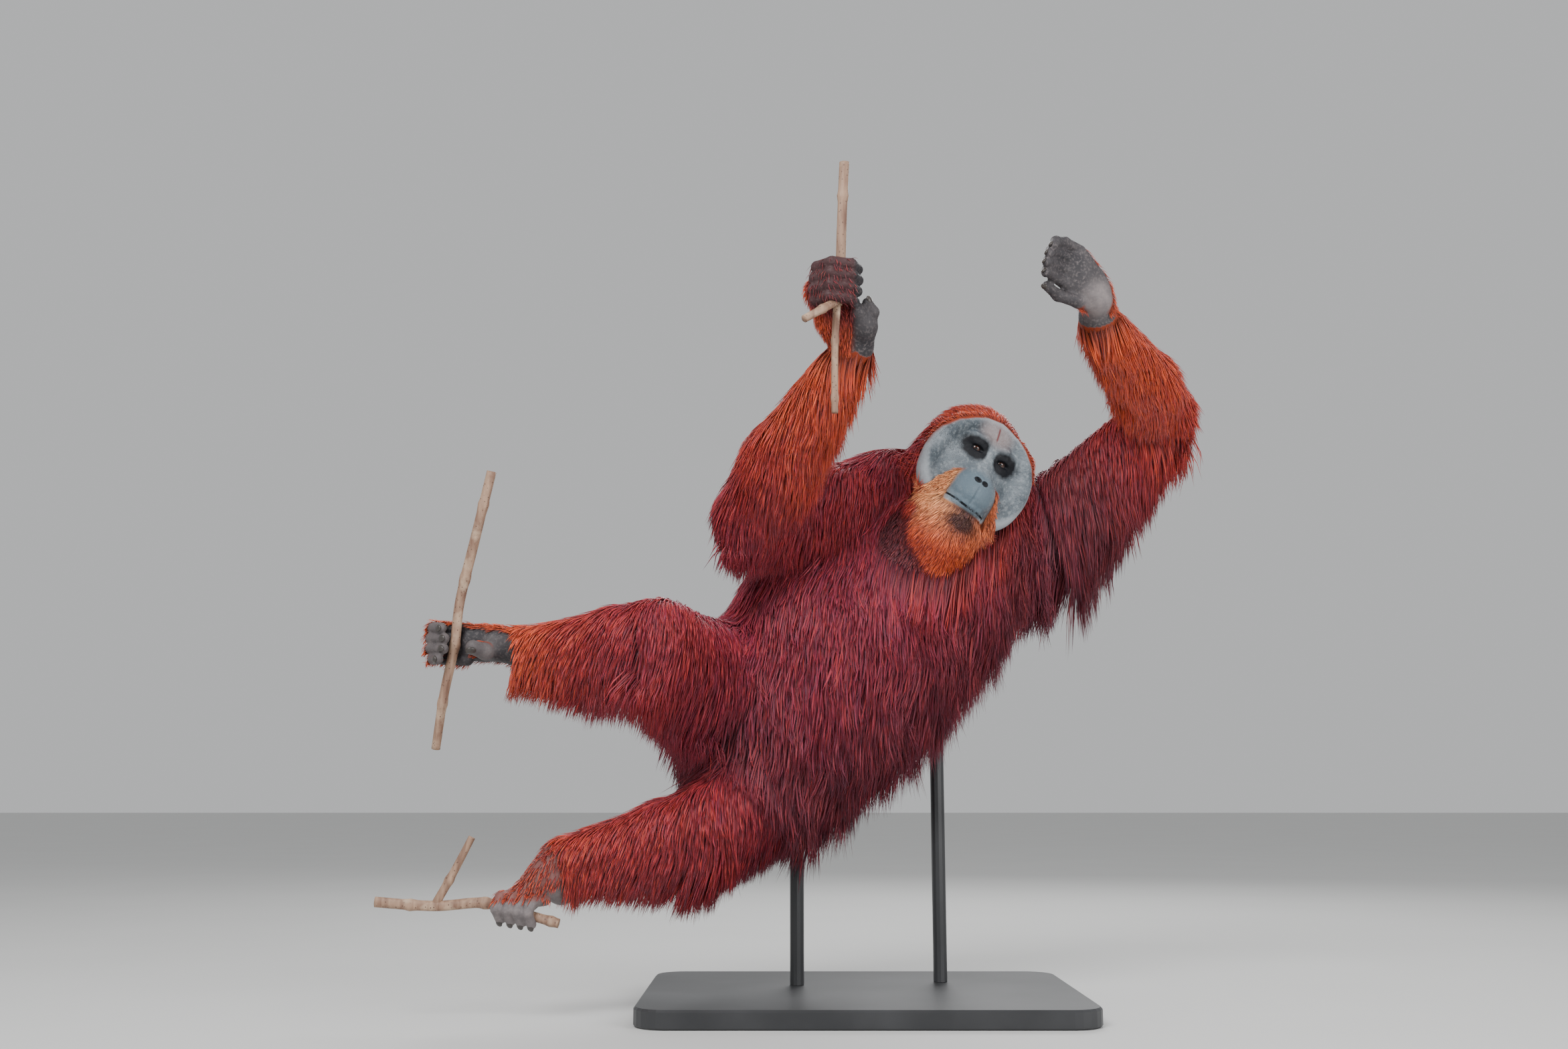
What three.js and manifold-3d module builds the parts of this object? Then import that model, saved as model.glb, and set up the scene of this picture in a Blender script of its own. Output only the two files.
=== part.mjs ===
// Life-size orangutan hanging from cut lengths of vine, held by a flat display stand. Millimetres, +Z up, front towards -Y.
import * as THREE from "three";
import { mergeVertices } from "three/addons/utils/BufferGeometryUtils.js";
import Module from "manifold-3d";

const wasm = await Module();
wasm.setup();
const V = (x, y, z) => new THREE.Vector3(x, y, z);

// Clearance left between touching solids.
const GAP = 0.6;

// Stand: a flat base and two upright rods that run up into holes in the trunk.
const BASE_LENGTH = 840;
const BASE_WIDTH = 600;
const BASE_THICK = 35;
const BASE_CORNER = 60;
const BASE_BEVEL = 4;
const ROD_RADIUS = 14;
const ROD_RUMP = V(-124, 60, 470);
const ROD_BACK = V(166, 112, 640);

// Joint centres of the hanging pose.
const PELVIS = V(-193, 42, 558);
const CHEST_TOP = V(228, 109, 985);
const SHOULDER_R = V(56, 62, 1020);
const ELBOW_R = V(-215, -150, 952);
const WRIST_R = V(-20, -321, 1233);
const SHOULDER_L = V(404, 151, 974);
const ELBOW_L = V(646, 30, 1199);
const WRIST_L = V(455, -254, 1313);
const HIP_R = V(-257, 10, 624);
const KNEE_R = V(-384, -226, 695);
const ANKLE_R = V(-644, -223, 679);
const HIP_L = V(-125, 74, 492);
const KNEE_L = V(-307, -124, 348);
const ANKLE_L = V(-566, -175, 288);

// Head frame: origin midway between the eyes, X to its left, Y backwards, Z to the crown.
const HEAD_ORIGIN = V(258, -80, 1078);
const HEAD_TURN = 13.1;
const HEAD_NOD = 16.2;
const HEAD_TILT = 29.7;
const EYE_RADIUS = 11.5;
const EYE_SPACING = 31;
const EYE_DEPTH = 6;

const radians = THREE.MathUtils.degToRad;
const HEAD = new THREE.Matrix4()
  .makeRotationFromEuler(new THREE.Euler(radians(HEAD_NOD), radians(HEAD_TILT), radians(HEAD_TURN), "ZXY"))
  .setPosition(HEAD_ORIGIN);
const inHead = (x, y, z) => V(x, y, z).applyMatrix4(HEAD);
const headAxis = (x, y, z) => V(x, y, z).transformDirection(HEAD);

// Colours of the coat and of the bare skin.
const RED_COAT = 0x8a3524;
const ORANGE_COAT = 0xb8582a;
const BARE_SKIN = 0x4a4648;
const VINE = 0x9a6f50;
const STAND = 0x2a2a2c;

// A manifold solid from a three.js geometry.
function solid(geometry) {
  geometry.deleteAttribute("normal");
  geometry.deleteAttribute("uv");
  const merged = mergeVertices(geometry, 1e-3);
  const position = merged.attributes.position;
  const triVerts = new Uint32Array(merged.index.array);
  let volume = 0;
  const [a, b, c] = [V(0, 0, 0), V(0, 0, 0), V(0, 0, 0)];
  for (let i = 0; i < triVerts.length; i += 3) {
    a.fromBufferAttribute(position, triVerts[i]);
    b.fromBufferAttribute(position, triVerts[i + 1]);
    c.fromBufferAttribute(position, triVerts[i + 2]);
    volume += a.dot(b.cross(c));
  }
  if (volume < 0) {
    for (let i = 0; i < triVerts.length; i += 3) {
      [triVerts[i + 1], triVerts[i + 2]] = [triVerts[i + 2], triVerts[i + 1]];
    }
  }
  return new wasm.Manifold(new wasm.Mesh({ numProp: 3, vertProperties: new Float32Array(position.array), triVerts }));
}

// A closed loft along a smooth path with domed ends.
// Each station is [centre, half-width along side, half-depth, length of coat that hangs below].
function loft(stations, { side, sides = 11, rings = 6, dome = 0.75, domeTurns = [0.8], grow = 0 }) {
  const path = new THREE.CatmullRomCurve3(stations.map((s) => s[0]), false, "centripetal");
  const profile = new THREE.CatmullRomCurve3(stations.map((s) => V(s[1], s[2], s[3] || 0)), false, "centripetal");
  const points = [];
  const ring = (centre, tangent, width, depth, hang) => {
    const across = side.clone().addScaledVector(tangent, -side.dot(tangent)).normalize();
    const other = tangent.clone().cross(across);
    const fall = V(0, 0, -1).addScaledVector(tangent, tangent.z);
    const down = fall.clone().normalize();
    for (let k = 0; k < sides; k++) {
      const angle = (2 * Math.PI * k) / sides;
      const out = across.clone().multiplyScalar(Math.cos(angle)).addScaledVector(other, Math.sin(angle));
      const below = Math.max(0, out.dot(down)) ** 1.5;
      points.push(
        centre
          .clone()
          .addScaledVector(across, Math.cos(angle) * width)
          .addScaledVector(other, Math.sin(angle) * depth)
          .addScaledVector(fall, below * hang),
      );
    }
  };
  const end = (u, sign) => {
    const centre = path.getPoint(u);
    const tangent = path.getTangent(u);
    const size = profile.getPoint(u);
    const reach = dome * Math.min(size.x, size.y) + grow;
    const domed = (turn) => {
      const narrow = Math.cos(turn);
      ring(
        centre.clone().addScaledVector(tangent, sign * reach * Math.sin(turn)),
        tangent,
        (size.x + grow) * narrow,
        (size.y + grow) * narrow,
        size.z * narrow,
      );
    };
    return { domed, pole: centre.clone().addScaledVector(tangent, sign * reach) };
  };
  const [start, finish] = [end(0, -1), end(1, 1)];
  for (const turn of [...domeTurns].reverse()) start.domed(turn);
  for (let i = 0; i < rings; i++) {
    const u = i / (rings - 1);
    const size = profile.getPoint(u);
    ring(path.getPoint(u), path.getTangent(u), size.x + grow, size.y + grow, size.z);
  }
  for (const turn of domeTurns) finish.domed(turn);
  const rows = points.length / sides;
  const index = [];
  for (let i = 0; i + 1 < rows; i++) {
    for (let k = 0; k < sides; k++) {
      const [a, b] = [i * sides + k, i * sides + ((k + 1) % sides)];
      index.push(a, a + sides, b, b, a + sides, b + sides);
    }
  }
  const [first, last] = [points.length, points.length + 1];
  points.push(start.pole, finish.pole);
  for (let k = 0; k < sides; k++) {
    const next = (k + 1) % sides;
    index.push(first, k, next, last, (rows - 1) * sides + next, (rows - 1) * sides + k);
  }
  return solid(new THREE.BufferGeometry().setFromPoints(points).setIndex(index));
}

// A limb between two joints; each row is [fraction along, half-width, half-depth, hanging coat].
function limb(from, to, rows, side, grow, options = {}) {
  const stations = rows.map(([t, width, depth, hang]) => [from.clone().lerp(to, t), width, depth, hang]);
  return loft(stations, { side, grow, ...options });
}

// A finger or toe through a few points, narrowing to its tip.
function digit(points, base, tip, grow, sides = 5) {
  const stations = points.map((p, i) => {
    const r = base + ((tip - base) * i) / (points.length - 1);
    return [p, r, r, 0];
  });
  return loft(stations, { side: V(0.3, 0.2, 1), sides, rings: points.length + 1, dome: 0.8, domeTurns: [0.8], grow });
}

// The trunk's path, fuller at the belly, with the coat hanging under it.
const SPINE_SIDE = V(-0.707, 0, 0.707);
const SPINE = [
  [V(-268, 26, 486), 150, 125, 70],
  [PELVIS, 222, 185, 135],
  [V(-25, 62, 730), 255, 212, 165],
  [V(118, 90, 872), 242, 198, 155],
  [CHEST_TOP, 196, 160, 150],
  [V(288, 120, 1045), 120, 105, 80],
];
const trunk = (grow) => loft(SPINE, { side: SPINE_SIDE, sides: 17, rings: 8, dome: 0.55, grow });
const SPINE_AXIS = CHEST_TOP.clone().sub(PELVIS).normalize();
const BELLY_FROM = 95;
const CHEST_FROM = 330;

// A slab of the trunk between two planes square to the spine.
function slab(from, to) {
  const n = SPINE_AXIS;
  const at = PELVIS.dot(n);
  let cut = trunk(0);
  if (from !== null) cut = cut.trimByPlane([n.x, n.y, n.z], at + from + GAP / 2);
  if (to !== null) cut = cut.trimByPlane([-n.x, -n.y, -n.z], -(at + to - GAP / 2));
  return cut;
}

// Fingers of the right hand, stacked up the vine and wrapped round its front.
const GRIP_TOP = V(-45, -402, 1361);
const FINGER_PITCH = 20;
function handRight(grow) {
  let made = loft(
    [
      [V(-22, -322, 1232), 42, 36],
      [V(-50, -346, 1280), 47, 36],
      [V(-78, -366, 1328), 40, 32],
      [V(-72, -372, 1356), 28, 24],
    ],
    { side: V(0.5, 0, 0.8), sides: 8, rings: 4, dome: 0.6, domeTurns: [0.8], grow },
  );
  for (let i = 0; i < 4; i++) {
    const c = GRIP_TOP.clone().add(V(-1.5 * i, 3 * i, -FINGER_PITCH * i));
    const reach = [0, 5, 4, -3][i];
    made = made.add(
      digit(
        [
          c.clone().add(V(-36, 28, 0)),
          c.clone().add(V(-44 - reach / 2, -2, 1)),
          c.clone().add(V(-18, -27 - reach / 2, 2)),
          c.clone().add(V(18 + reach / 2, -22, 0)),
          c.clone().add(V(30 + reach / 2, 2, -2)),
          c.clone().add(V(16, 21, -3)),
        ],
        12.5,
        10.5,
        grow,
      ),
    );
  }
  const heel = digit([V(-8, -334, 1238), V(-2, -366, 1262), V(-14, -386, 1281)], 27, 20, grow, 6);
  const thumb = digit([V(6, -352, 1262), V(14, -378, 1284), V(4, -384, 1300)], 14, 11, grow);
  return made.add(heel).add(thumb);
}

// The open left hand, its palm towards the front and its fingers curling in.
const KNUCKLES_L = V(388, -342, 1386);
const PALM_ACROSS_L = V(0.37, 0, 0.93);
function handLeft(grow) {
  let made = loft(
    [
      [V(458, -258, 1314), 42, 36],
      [V(441, -294, 1344), 47, 28],
      [V(408, -328, 1372), 49, 21],
      [KNUCKLES_L.clone().add(V(2, -1, 1)), 44, 16],
    ],
    { side: PALM_ACROSS_L, sides: 8, rings: 4, dome: 0.6, domeTurns: [0.8], grow },
  );
  for (let i = 0; i < 4; i++) {
    const offset = 36 - 24 * i;
    const along = (x, y, z, spread) =>
      KNUCKLES_L.clone().add(V(x, y, z)).addScaledVector(PALM_ACROSS_L, offset * spread);
    const curl = [1, 1.04, 1, 0.9][i];
    made = made.add(
      digit(
        [
          along(6, 4, -2, 1),
          along(-26 * curl, -22, 6, 0.96),
          along(-46 * curl, -50, 2, 0.85),
          along(-54 * curl, -76 * curl, -12, 0.74),
        ],
        12.5,
        9.5,
        grow,
      ),
    );
  }
  const thumb = digit([V(456, -288, 1326), V(404, -326, 1322), V(362, -350, 1326), V(340, -358, 1342)], 16, 10, grow);
  return made.add(thumb);
}

// The right foot passes behind its vine, with the toes curling back round the front.
const TOE_PITCH = 19;
function footRight(grow) {
  let made = loft(
    [
      [V(-642, -222, 679), 38, 36],
      [V(-676, -226, 684), 38, 30],
      [V(-712, -232, 688), 38, 22],
      [V(-744, -238, 686), 36, 16],
    ],
    { side: V(0, 0, 1), sides: 8, rings: 4, dome: 0.6, domeTurns: [0.8], grow },
  );
  for (let i = 0; i < 4; i++) {
    const z = 712 - TOE_PITCH * i;
    const reach = [0, 6, 5, -4][i];
    made = made.add(
      digit(
        [V(-740, -238, z), V(-780, -238, z + 2), V(-800 - reach / 2, -262, z), V(-780 + reach, -288, z - 3)],
        12.5,
        11,
        grow,
      ),
    );
  }
  const hallux = digit([V(-682, -232, 672), V(-702, -262, 668), V(-722, -282, 674)], 18, 14, grow, 6);
  return made.add(hallux);
}

// The left foot reaches down over its branch and closes round it.
function footLeft(grow) {
  let made = loft(
    [
      [V(-566, -174, 286), 46, 40],
      [V(-586, -184, 256), 46, 34],
      [V(-612, -196, 236), 42, 26],
      [V(-634, -206, 224), 36, 18],
    ],
    { side: V(0.7, 0, -0.7), sides: 8, rings: 4, dome: 0.6, domeTurns: [0.8], grow },
  );
  const heel = digit([V(-572, -176, 262), V(-562, -170, 228)], 34, 26, grow, 7);
  for (let i = 0; i < 4; i++) {
    const x = -662 + 19 * i;
    const z = 220 - 3 * i;
    made = made.add(
      digit([V(x + 16, -202, z + 6), V(x - 4, -226, z + 4), V(x - 10, -240, z - 16), V(x - 4, -226, z - 36)], 12, 10, grow),
    );
  }
  const hallux = digit([V(-596, -180, 226), V(-622, -174, 206), V(-640, -190, 186)], 15, 12, grow, 6);
  return made.add(heel).add(hallux);
}

// Vines and branch in the photo's places, cut short.
const vine = (points, radius, grow, sides = 6) =>
  loft(points.map((p) => [p, radius, radius, 0]), { side: V(1, 0.2, 0.1), sides, rings: points.length * 2, dome: 0.2, domeTurns: [], grow });
const VINE_RADIUS = 9;
const BRANCH_RADIUS = 9.5;
const perchVineHand = (grow) =>
  vine([V(-38, -418, 1560), V(-44, -412, 1440), V(-47, -400, 1350), V(-52, -398, 1292)], VINE_RADIUS, grow)
    .add(vine([V(-52, -398, 1300), V(-76, -430, 1276), V(-114, -452, 1248)], 7.5, grow))
    .add(vine([V(-52, -400, 1298), V(-57, -396, 1210), V(-58, -388, 1090)], 6.5, grow));
const perchVineFoot = (grow) =>
  vine([V(-694, -301, 1000), V(-722, -290, 880), V(-752, -267, 760), V(-760, -263, 680), V(-776, -262, 590), V(-792, -240, 490)], 9, grow);
const perchBranchLow = (grow) =>
  vine([V(-900, -206, 214), V(-791, -204, 206), V(-700, -214, 212), V(-640, -216, 197), V(-560, -222, 176)], BRANCH_RADIUS, grow)
    .add(vine([V(-791, -204, 206), V(-760, -206, 262), V(-726, -208, 330)], 7.5, grow));

function baseSolid() {
  const [x, y, r] = [BASE_LENGTH / 2 - BASE_BEVEL, BASE_WIDTH / 2 - BASE_BEVEL, BASE_CORNER - BASE_BEVEL];
  const outline = new THREE.Shape()
    .moveTo(-x + r, -y)
    .lineTo(x - r, -y)
    .absarc(x - r, -y + r, r, -Math.PI / 2, 0)
    .lineTo(x, y - r)
    .absarc(x - r, y - r, r, 0, Math.PI / 2)
    .lineTo(-x + r, y)
    .absarc(-x + r, y - r, r, Math.PI / 2, Math.PI)
    .lineTo(-x, -y + r)
    .absarc(-x + r, -y + r, r, Math.PI, 1.5 * Math.PI);
  const plate = new THREE.ExtrudeGeometry(outline, {
    depth: BASE_THICK - 2 * BASE_BEVEL,
    curveSegments: 3,
    bevelThickness: BASE_BEVEL,
    bevelSize: BASE_BEVEL,
    bevelSegments: 1,
  });
  return solid(plate.translate(0, 0, BASE_BEVEL));
}

const rod = (top, grow) => {
  const height = top.z - BASE_THICK - GAP + 2 * grow;
  const bar = new THREE.CylinderGeometry(ROD_RADIUS + grow, ROD_RADIUS + grow, height, 12);
  return solid(bar.rotateX(Math.PI / 2).translate(top.x, top.y, BASE_THICK + GAP - grow + height / 2));
};

// Cranium with the hair round the back of the head, and the muzzle joined to its face.
const skull = (grow) =>
  loft(
    [
      [inHead(0, 184, 0), 68, 66],
      [inHead(0, 138, 0), 114, 104],
      [inHead(0, 78, -6), 134, 118],
      [inHead(0, 30, -10), 138, 110],
      [inHead(0, 6, -14), 94, 76],
      [inHead(0, -6, -14), 68, 48],
    ],
    { side: headAxis(1, 0, 0), sides: 14, rings: 7, dome: 0.12, domeTurns: [0.9], grow },
  ).add(
    loft(
      [
        [inHead(0, 30, -60), 70, 56],
        [inHead(0, -14, -68), 62, 46],
        [inHead(0, -44, -80), 54, 42],
        [inHead(0, -62, -88), 42, 36],
      ],
      { side: headAxis(1, 0, 0), sides: 10, rings: 4, dome: 0.5, domeTurns: [0.8], grow },
    ),
  );
const cheekPad = (sign, grow) =>
  loft(
    [
      [inHead(sign * 58, 14, 62), 22, 12],
      [inHead(sign * 96, 4, 30), 34, 15],
      [inHead(sign * 106, -2, -28), 38, 16],
      [inHead(sign * 96, -4, -84), 36, 16],
      [inHead(sign * 68, -6, -124), 24, 13],
    ],
    { side: headAxis(1, 0, 0), sides: 9, rings: 6, dome: 0.8, domeTurns: [0.8], grow },
  );
const ear = (sign, grow) =>
  loft(
    [
      [inHead(sign * 131, 66, 20), 10, 9],
      [inHead(sign * 134, 70, 2), 12, 13],
      [inHead(sign * 130, 68, -16), 9, 8],
    ],
    { side: headAxis(1, 0, 0), sides: 6, rings: 3, dome: 1, domeTurns: [0.8], grow },
  );
const eye = (sign, grow) => {
  const ball = new THREE.SphereGeometry(EYE_RADIUS + grow, 9, 6);
  return solid(ball.applyMatrix4(new THREE.Matrix4().setPosition(inHead(sign * EYE_SPACING, -EYE_DEPTH, 0))));
};
const neck = (grow) =>
  loft(
    [
      [V(222, 112, 985), 150, 120],
      [V(262, 92, 1030), 142, 118],
      [inHead(0, 110, -20), 120, 105],
    ],
    { side: headAxis(1, 0, 0), sides: 10, rings: 4, dome: 0.4, domeTurns: [0.8], grow },
  );
const beard = (grow) =>
  loft(
    [
      [inHead(-20, -34, -118), 70, 34],
      [V(168, -128, 915), 74, 38],
      [V(152, -138, 872), 46, 28],
      [V(150, -136, 838), 16, 12],
    ],
    { side: headAxis(1, 0, 0), sides: 10, rings: 5, dome: 0.7, domeTurns: [0.8], grow },
  );
const throatSac = (grow) =>
  loft(
    [
      [V(158, -48, 968), 70, 60],
      [V(122, -64, 928), 84, 76],
      [V(84, -56, 880), 62, 60],
    ],
    { side: V(0.707, 0, -0.707), sides: 10, rings: 4, dome: 0.6, domeTurns: [0.8], grow },
  );

// Every solid in the order in which it is cut: each gives way to the ones before it.
const FACING = V(0, 1, 0);

// The plane square to the bend at a joint, facing from the upper segment to the lower one.
function bend(before, joint, after) {
  const n = joint.clone().sub(before).normalize().add(after.clone().sub(joint).normalize()).normalize();
  return { n, at: joint.dot(n) };
}
const bends = {
  knee_right: bend(HIP_R, KNEE_R, ANKLE_R),
  knee_left: bend(HIP_L, KNEE_L, ANKLE_L),
  ankle_right: bend(KNEE_R, ANKLE_R, V(-712, -232, 688)),
  ankle_left: bend(KNEE_L, ANKLE_L, V(-612, -196, 236)),
  elbow_right: bend(SHOULDER_R, ELBOW_R, WRIST_R),
  elbow_left: bend(SHOULDER_L, ELBOW_L, WRIST_L),
  wrist_right: bend(ELBOW_R, WRIST_R, V(-50, -346, 1280)),
  wrist_left: bend(ELBOW_L, WRIST_L, V(408, -328, 1372)),
};
const joints = {
  thigh_right: [null, "knee_right"],
  shin_right: ["knee_right", "ankle_right"],
  foot_right: ["ankle_right", null],
  thigh_left: [null, "knee_left"],
  shin_left: ["knee_left", "ankle_left"],
  foot_left: ["ankle_left", null],
  upper_arm_right: [null, "elbow_right"],
  forearm_right: ["elbow_right", "wrist_right"],
  hand_right: ["wrist_right", null],
  upper_arm_left: [null, "elbow_left"],
  forearm_left: ["elbow_left", "wrist_left"],
  hand_left: ["wrist_left", null],
};

// A segment cut at the joints it meets, so that neighbours share a flat face.
function atJoints(name, made) {
  const [upper, lower] = joints[name] || [null, null];
  if (upper) {
    const { n, at } = bends[upper];
    made = made.trimByPlane([n.x, n.y, n.z], at + GAP / 2);
  }
  if (lower) {
    const { n, at } = bends[lower];
    made = made.trimByPlane([-n.x, -n.y, -n.z], -(at - GAP / 2));
  }
  return made;
}
const makers = {
  stand_rod_rump: [(g) => rod(ROD_RUMP, g), STAND],
  stand_rod_back: [(g) => rod(ROD_BACK, g), STAND],
  perch_vine_hand: [perchVineHand, VINE],
  perch_vine_foot: [perchVineFoot, VINE],
  perch_branch_low: [perchBranchLow, VINE],
  trunk: [trunk, RED_COAT],
  thigh_right: [(g) => limb(HIP_R, KNEE_R, [[0, 130, 120, 60], [0.5, 118, 112, 120], [1, 92, 88, 120]], FACING, g), RED_COAT],
  thigh_left: [(g) => limb(HIP_L, KNEE_L, [[0, 132, 125, 60], [0.5, 116, 112, 80], [1, 86, 84, 85]], FACING, g), RED_COAT],
  shin_right: [(g) => limb(KNEE_R, ANKLE_R, [[0, 92, 88, 120], [0.3, 80, 76, 90], [0.65, 60, 62, 30], [1, 38, 36, 6]], FACING, g), ORANGE_COAT],
  shin_left: [(g) => limb(KNEE_L, ANKLE_L, [[0, 86, 84, 85], [0.35, 76, 74, 75], [0.7, 62, 60, 50], [1, 46, 44, 22]], FACING, g), ORANGE_COAT],
  foot_right: [footRight, BARE_SKIN],
  foot_left: [footLeft, BARE_SKIN],
  upper_arm_right: [(g) => limb(SHOULDER_R, ELBOW_R, [[0, 102, 96, 10], [0.5, 92, 90, 20], [1, 90, 86, 45]], FACING, g), RED_COAT],
  upper_arm_left: [(g) => limb(SHOULDER_L, ELBOW_L, [[0, 112, 100, 235], [0.4, 96, 90, 140], [0.8, 78, 76, 75], [1, 74, 72, 45]], FACING, g), RED_COAT],
  forearm_right: [(g) => limb(ELBOW_R, WRIST_R, [[0, 90, 86, 45], [0.3, 104, 94, 20], [0.7, 80, 72, 5], [1, 46, 42, 0]], FACING, g), ORANGE_COAT],
  forearm_left: [(g) => limb(ELBOW_L, WRIST_L, [[0, 74, 72, 65], [0.35, 80, 74, 25], [0.75, 60, 58, 8], [1, 44, 38, 0]], FACING, g), ORANGE_COAT],
  hand_right: [handRight, BARE_SKIN],
  hand_left: [handLeft, BARE_SKIN],
  eye_right: [(g) => eye(-1, g), 0x2c1810],
  eye_left: [(g) => eye(1, g), 0x2c1810],
  cheek_pad_right: [(g) => cheekPad(-1, g), BARE_SKIN],
  cheek_pad_left: [(g) => cheekPad(1, g), BARE_SKIN],
  ear_right: [(g) => ear(-1, g), BARE_SKIN],
  ear_left: [(g) => ear(1, g), BARE_SKIN],
  head: [skull, RED_COAT],
  beard: [beard, ORANGE_COAT],
  throat_sac: [throatSac, BARE_SKIN],
  neck: [neck, RED_COAT],
};

// The largest body of a solid that cutting has split.
function largest(made) {
  return made.decompose().reduce((a, b) => (b.volume() > a.volume() ? b : a));
}

const boxesMeet = (a, b) => {
  const [p, q] = [a.boundingBox(), b.boundingBox()];
  return [0, 1, 2].every((i) => p.min[i] <= q.max[i] && q.min[i] <= p.max[i]);
};
const STANDALONE = new Set(["stand_rod_rump", "stand_rod_back", "perch_vine_hand", "perch_vine_foot", "perch_branch_low"]);
const root = new THREE.Group();
root.name = "orangutan";
function place(name, made, colour) {
  const mesh = made.getMesh();
  const geometry = new THREE.BufferGeometry()
    .setAttribute("position", new THREE.BufferAttribute(mesh.vertProperties, 3))
    .setIndex(new THREE.BufferAttribute(mesh.triVerts, 1));
  geometry.computeVertexNormals();
  const node = new THREE.Mesh(geometry, new THREE.MeshStandardMaterial({ color: colour, roughness: 0.8 }));
  node.name = name;
  root.add(node);
}

const done = [];
for (const [name, [make, colour]] of Object.entries(makers)) {
  const cutters = done.filter((other) => !(STANDALONE.has(name) && STANDALONE.has(other.name)));
  const cut = (made) => {
    for (const other of cutters) {
      if (boxesMeet(made, other.grown)) made = made.subtract(other.grown);
    }
    return largest(made);
  };
  if (name === "trunk") {
    place("pelvis", cut(slab(null, BELLY_FROM)), colour);
    place("belly", cut(slab(BELLY_FROM, CHEST_FROM)), colour);
    place("chest", cut(slab(CHEST_FROM, null)), colour);
  } else {
    place(name, cut(atJoints(name, make(0))), colour);
  }
  done.push({ name, grown: largest(atJoints(name, make(GAP))) });
}
place("stand_base", baseSolid(), STAND);

export default root;
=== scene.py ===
"""A life-size orangutan that hangs from cut lengths of vine, on a display stand.

One skin, two eyes, the nails, the coat in nine pieces of joined locks, the perches and the stage.
"""
import functools
import math
from typing import NamedTuple

import bpy
import numpy as np
from mathutils import Euler, Matrix, Vector


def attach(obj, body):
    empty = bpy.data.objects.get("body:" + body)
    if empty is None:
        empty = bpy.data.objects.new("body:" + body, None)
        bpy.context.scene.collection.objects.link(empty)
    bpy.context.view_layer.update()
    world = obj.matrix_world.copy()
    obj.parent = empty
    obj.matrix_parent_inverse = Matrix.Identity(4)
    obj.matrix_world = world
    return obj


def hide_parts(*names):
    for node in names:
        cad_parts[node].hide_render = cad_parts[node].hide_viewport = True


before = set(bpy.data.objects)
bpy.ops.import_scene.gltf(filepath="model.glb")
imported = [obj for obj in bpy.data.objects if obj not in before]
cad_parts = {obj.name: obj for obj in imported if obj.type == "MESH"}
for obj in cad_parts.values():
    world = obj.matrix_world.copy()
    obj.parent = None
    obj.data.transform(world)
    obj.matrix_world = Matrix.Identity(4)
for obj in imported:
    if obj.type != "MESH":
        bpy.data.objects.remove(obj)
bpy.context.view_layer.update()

bl_info = {
    "name": "Orangutan Figure",
    "version": (1, 0, 0),
    "blender": (4, 5, 0),
    "location": "3D View > Sidebar > Orangutan",
    "description": "Builds a life-size orangutan with its skin, coat, eyes, perches and stage",
    "category": "Object",
}

RANDOM_SEED = 7


def mm(x, y, z):
    """A point given in millimetres, in metres."""
    return np.array((x, y, z), dtype=float) / 1000.0


# Joint centres of the pose, the same as the solids'.
PELVIS = mm(-193, 42, 558)
CHEST_TOP = mm(228, 109, 985)
SHOULDER_R, ELBOW_R, WRIST_R = mm(56, 62, 1020), mm(-215, -150, 952), mm(-20, -321, 1233)
SHOULDER_L, ELBOW_L, WRIST_L = mm(404, 151, 974), mm(646, 30, 1199), mm(455, -254, 1313)
HIP_R, KNEE_R, ANKLE_R = mm(-257, 10, 624), mm(-384, -226, 695), mm(-644, -223, 679)
HIP_L, KNEE_L, ANKLE_L = mm(-125, 74, 492), mm(-307, -124, 348), mm(-566, -175, 288)
THROAT = mm(120, -58, 925)

# Head frame: origin midway between the eyes, X to its left, Y backwards, Z to the crown.
HEAD_ORIGIN = mm(258, -80, 1078)
HEAD_TURN, HEAD_NOD, HEAD_TILT = math.radians(13.1), math.radians(16.2), math.radians(29.7)
HEAD_AXES = np.array(
    Matrix.Rotation(HEAD_TURN, 3, "Z")
    @ Matrix.Rotation(HEAD_NOD, 3, "X")
    @ Matrix.Rotation(HEAD_TILT, 3, "Y")
)
EYE_RADIUS = 0.0115
EYE_SPACING = 0.031
EYE_DEPTH = 0.006
CAMERA_PLACE = np.array((-0.15, -3.08, 0.41))
CAMERA_TILT = math.radians(100.0)
LENS, SENSOR_WIDTH = 35.0, 36.0
DOWN = np.array((0.0, 0.0, -1.0))


def unit(v):
    """Vectors scaled to length one along the last axis."""
    v = np.asarray(v, dtype=float)
    return v / np.maximum(np.linalg.norm(v, axis=-1, keepdims=True), 1e-9)


def in_head(x, y, z):
    """A point of the head frame, given in millimetres, in the row frame in metres."""
    return HEAD_ORIGIN + HEAD_AXES @ mm(x, y, z)


def to_head(points):
    """Row-frame points in the head frame, in metres."""
    return (points - HEAD_ORIGIN) @ HEAD_AXES


def ramp(x, low, high):
    """0 below low, 1 above high and a smooth step between; low may be the larger."""
    t = np.clip((x - low) / (high - low), 0.0, 1.0)
    return t * t * (3.0 - 2.0 * t)


SPINE_AXIS = unit(CHEST_TOP - PELVIS)
SPINE_SIDE = unit(np.cross(SPINE_AXIS, (0.0, 1.0, 0.0)))
TRUNK_AXES = np.array((-SPINE_SIDE, np.cross(SPINE_AXIS, -SPINE_SIDE), SPINE_AXIS)).T


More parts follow.
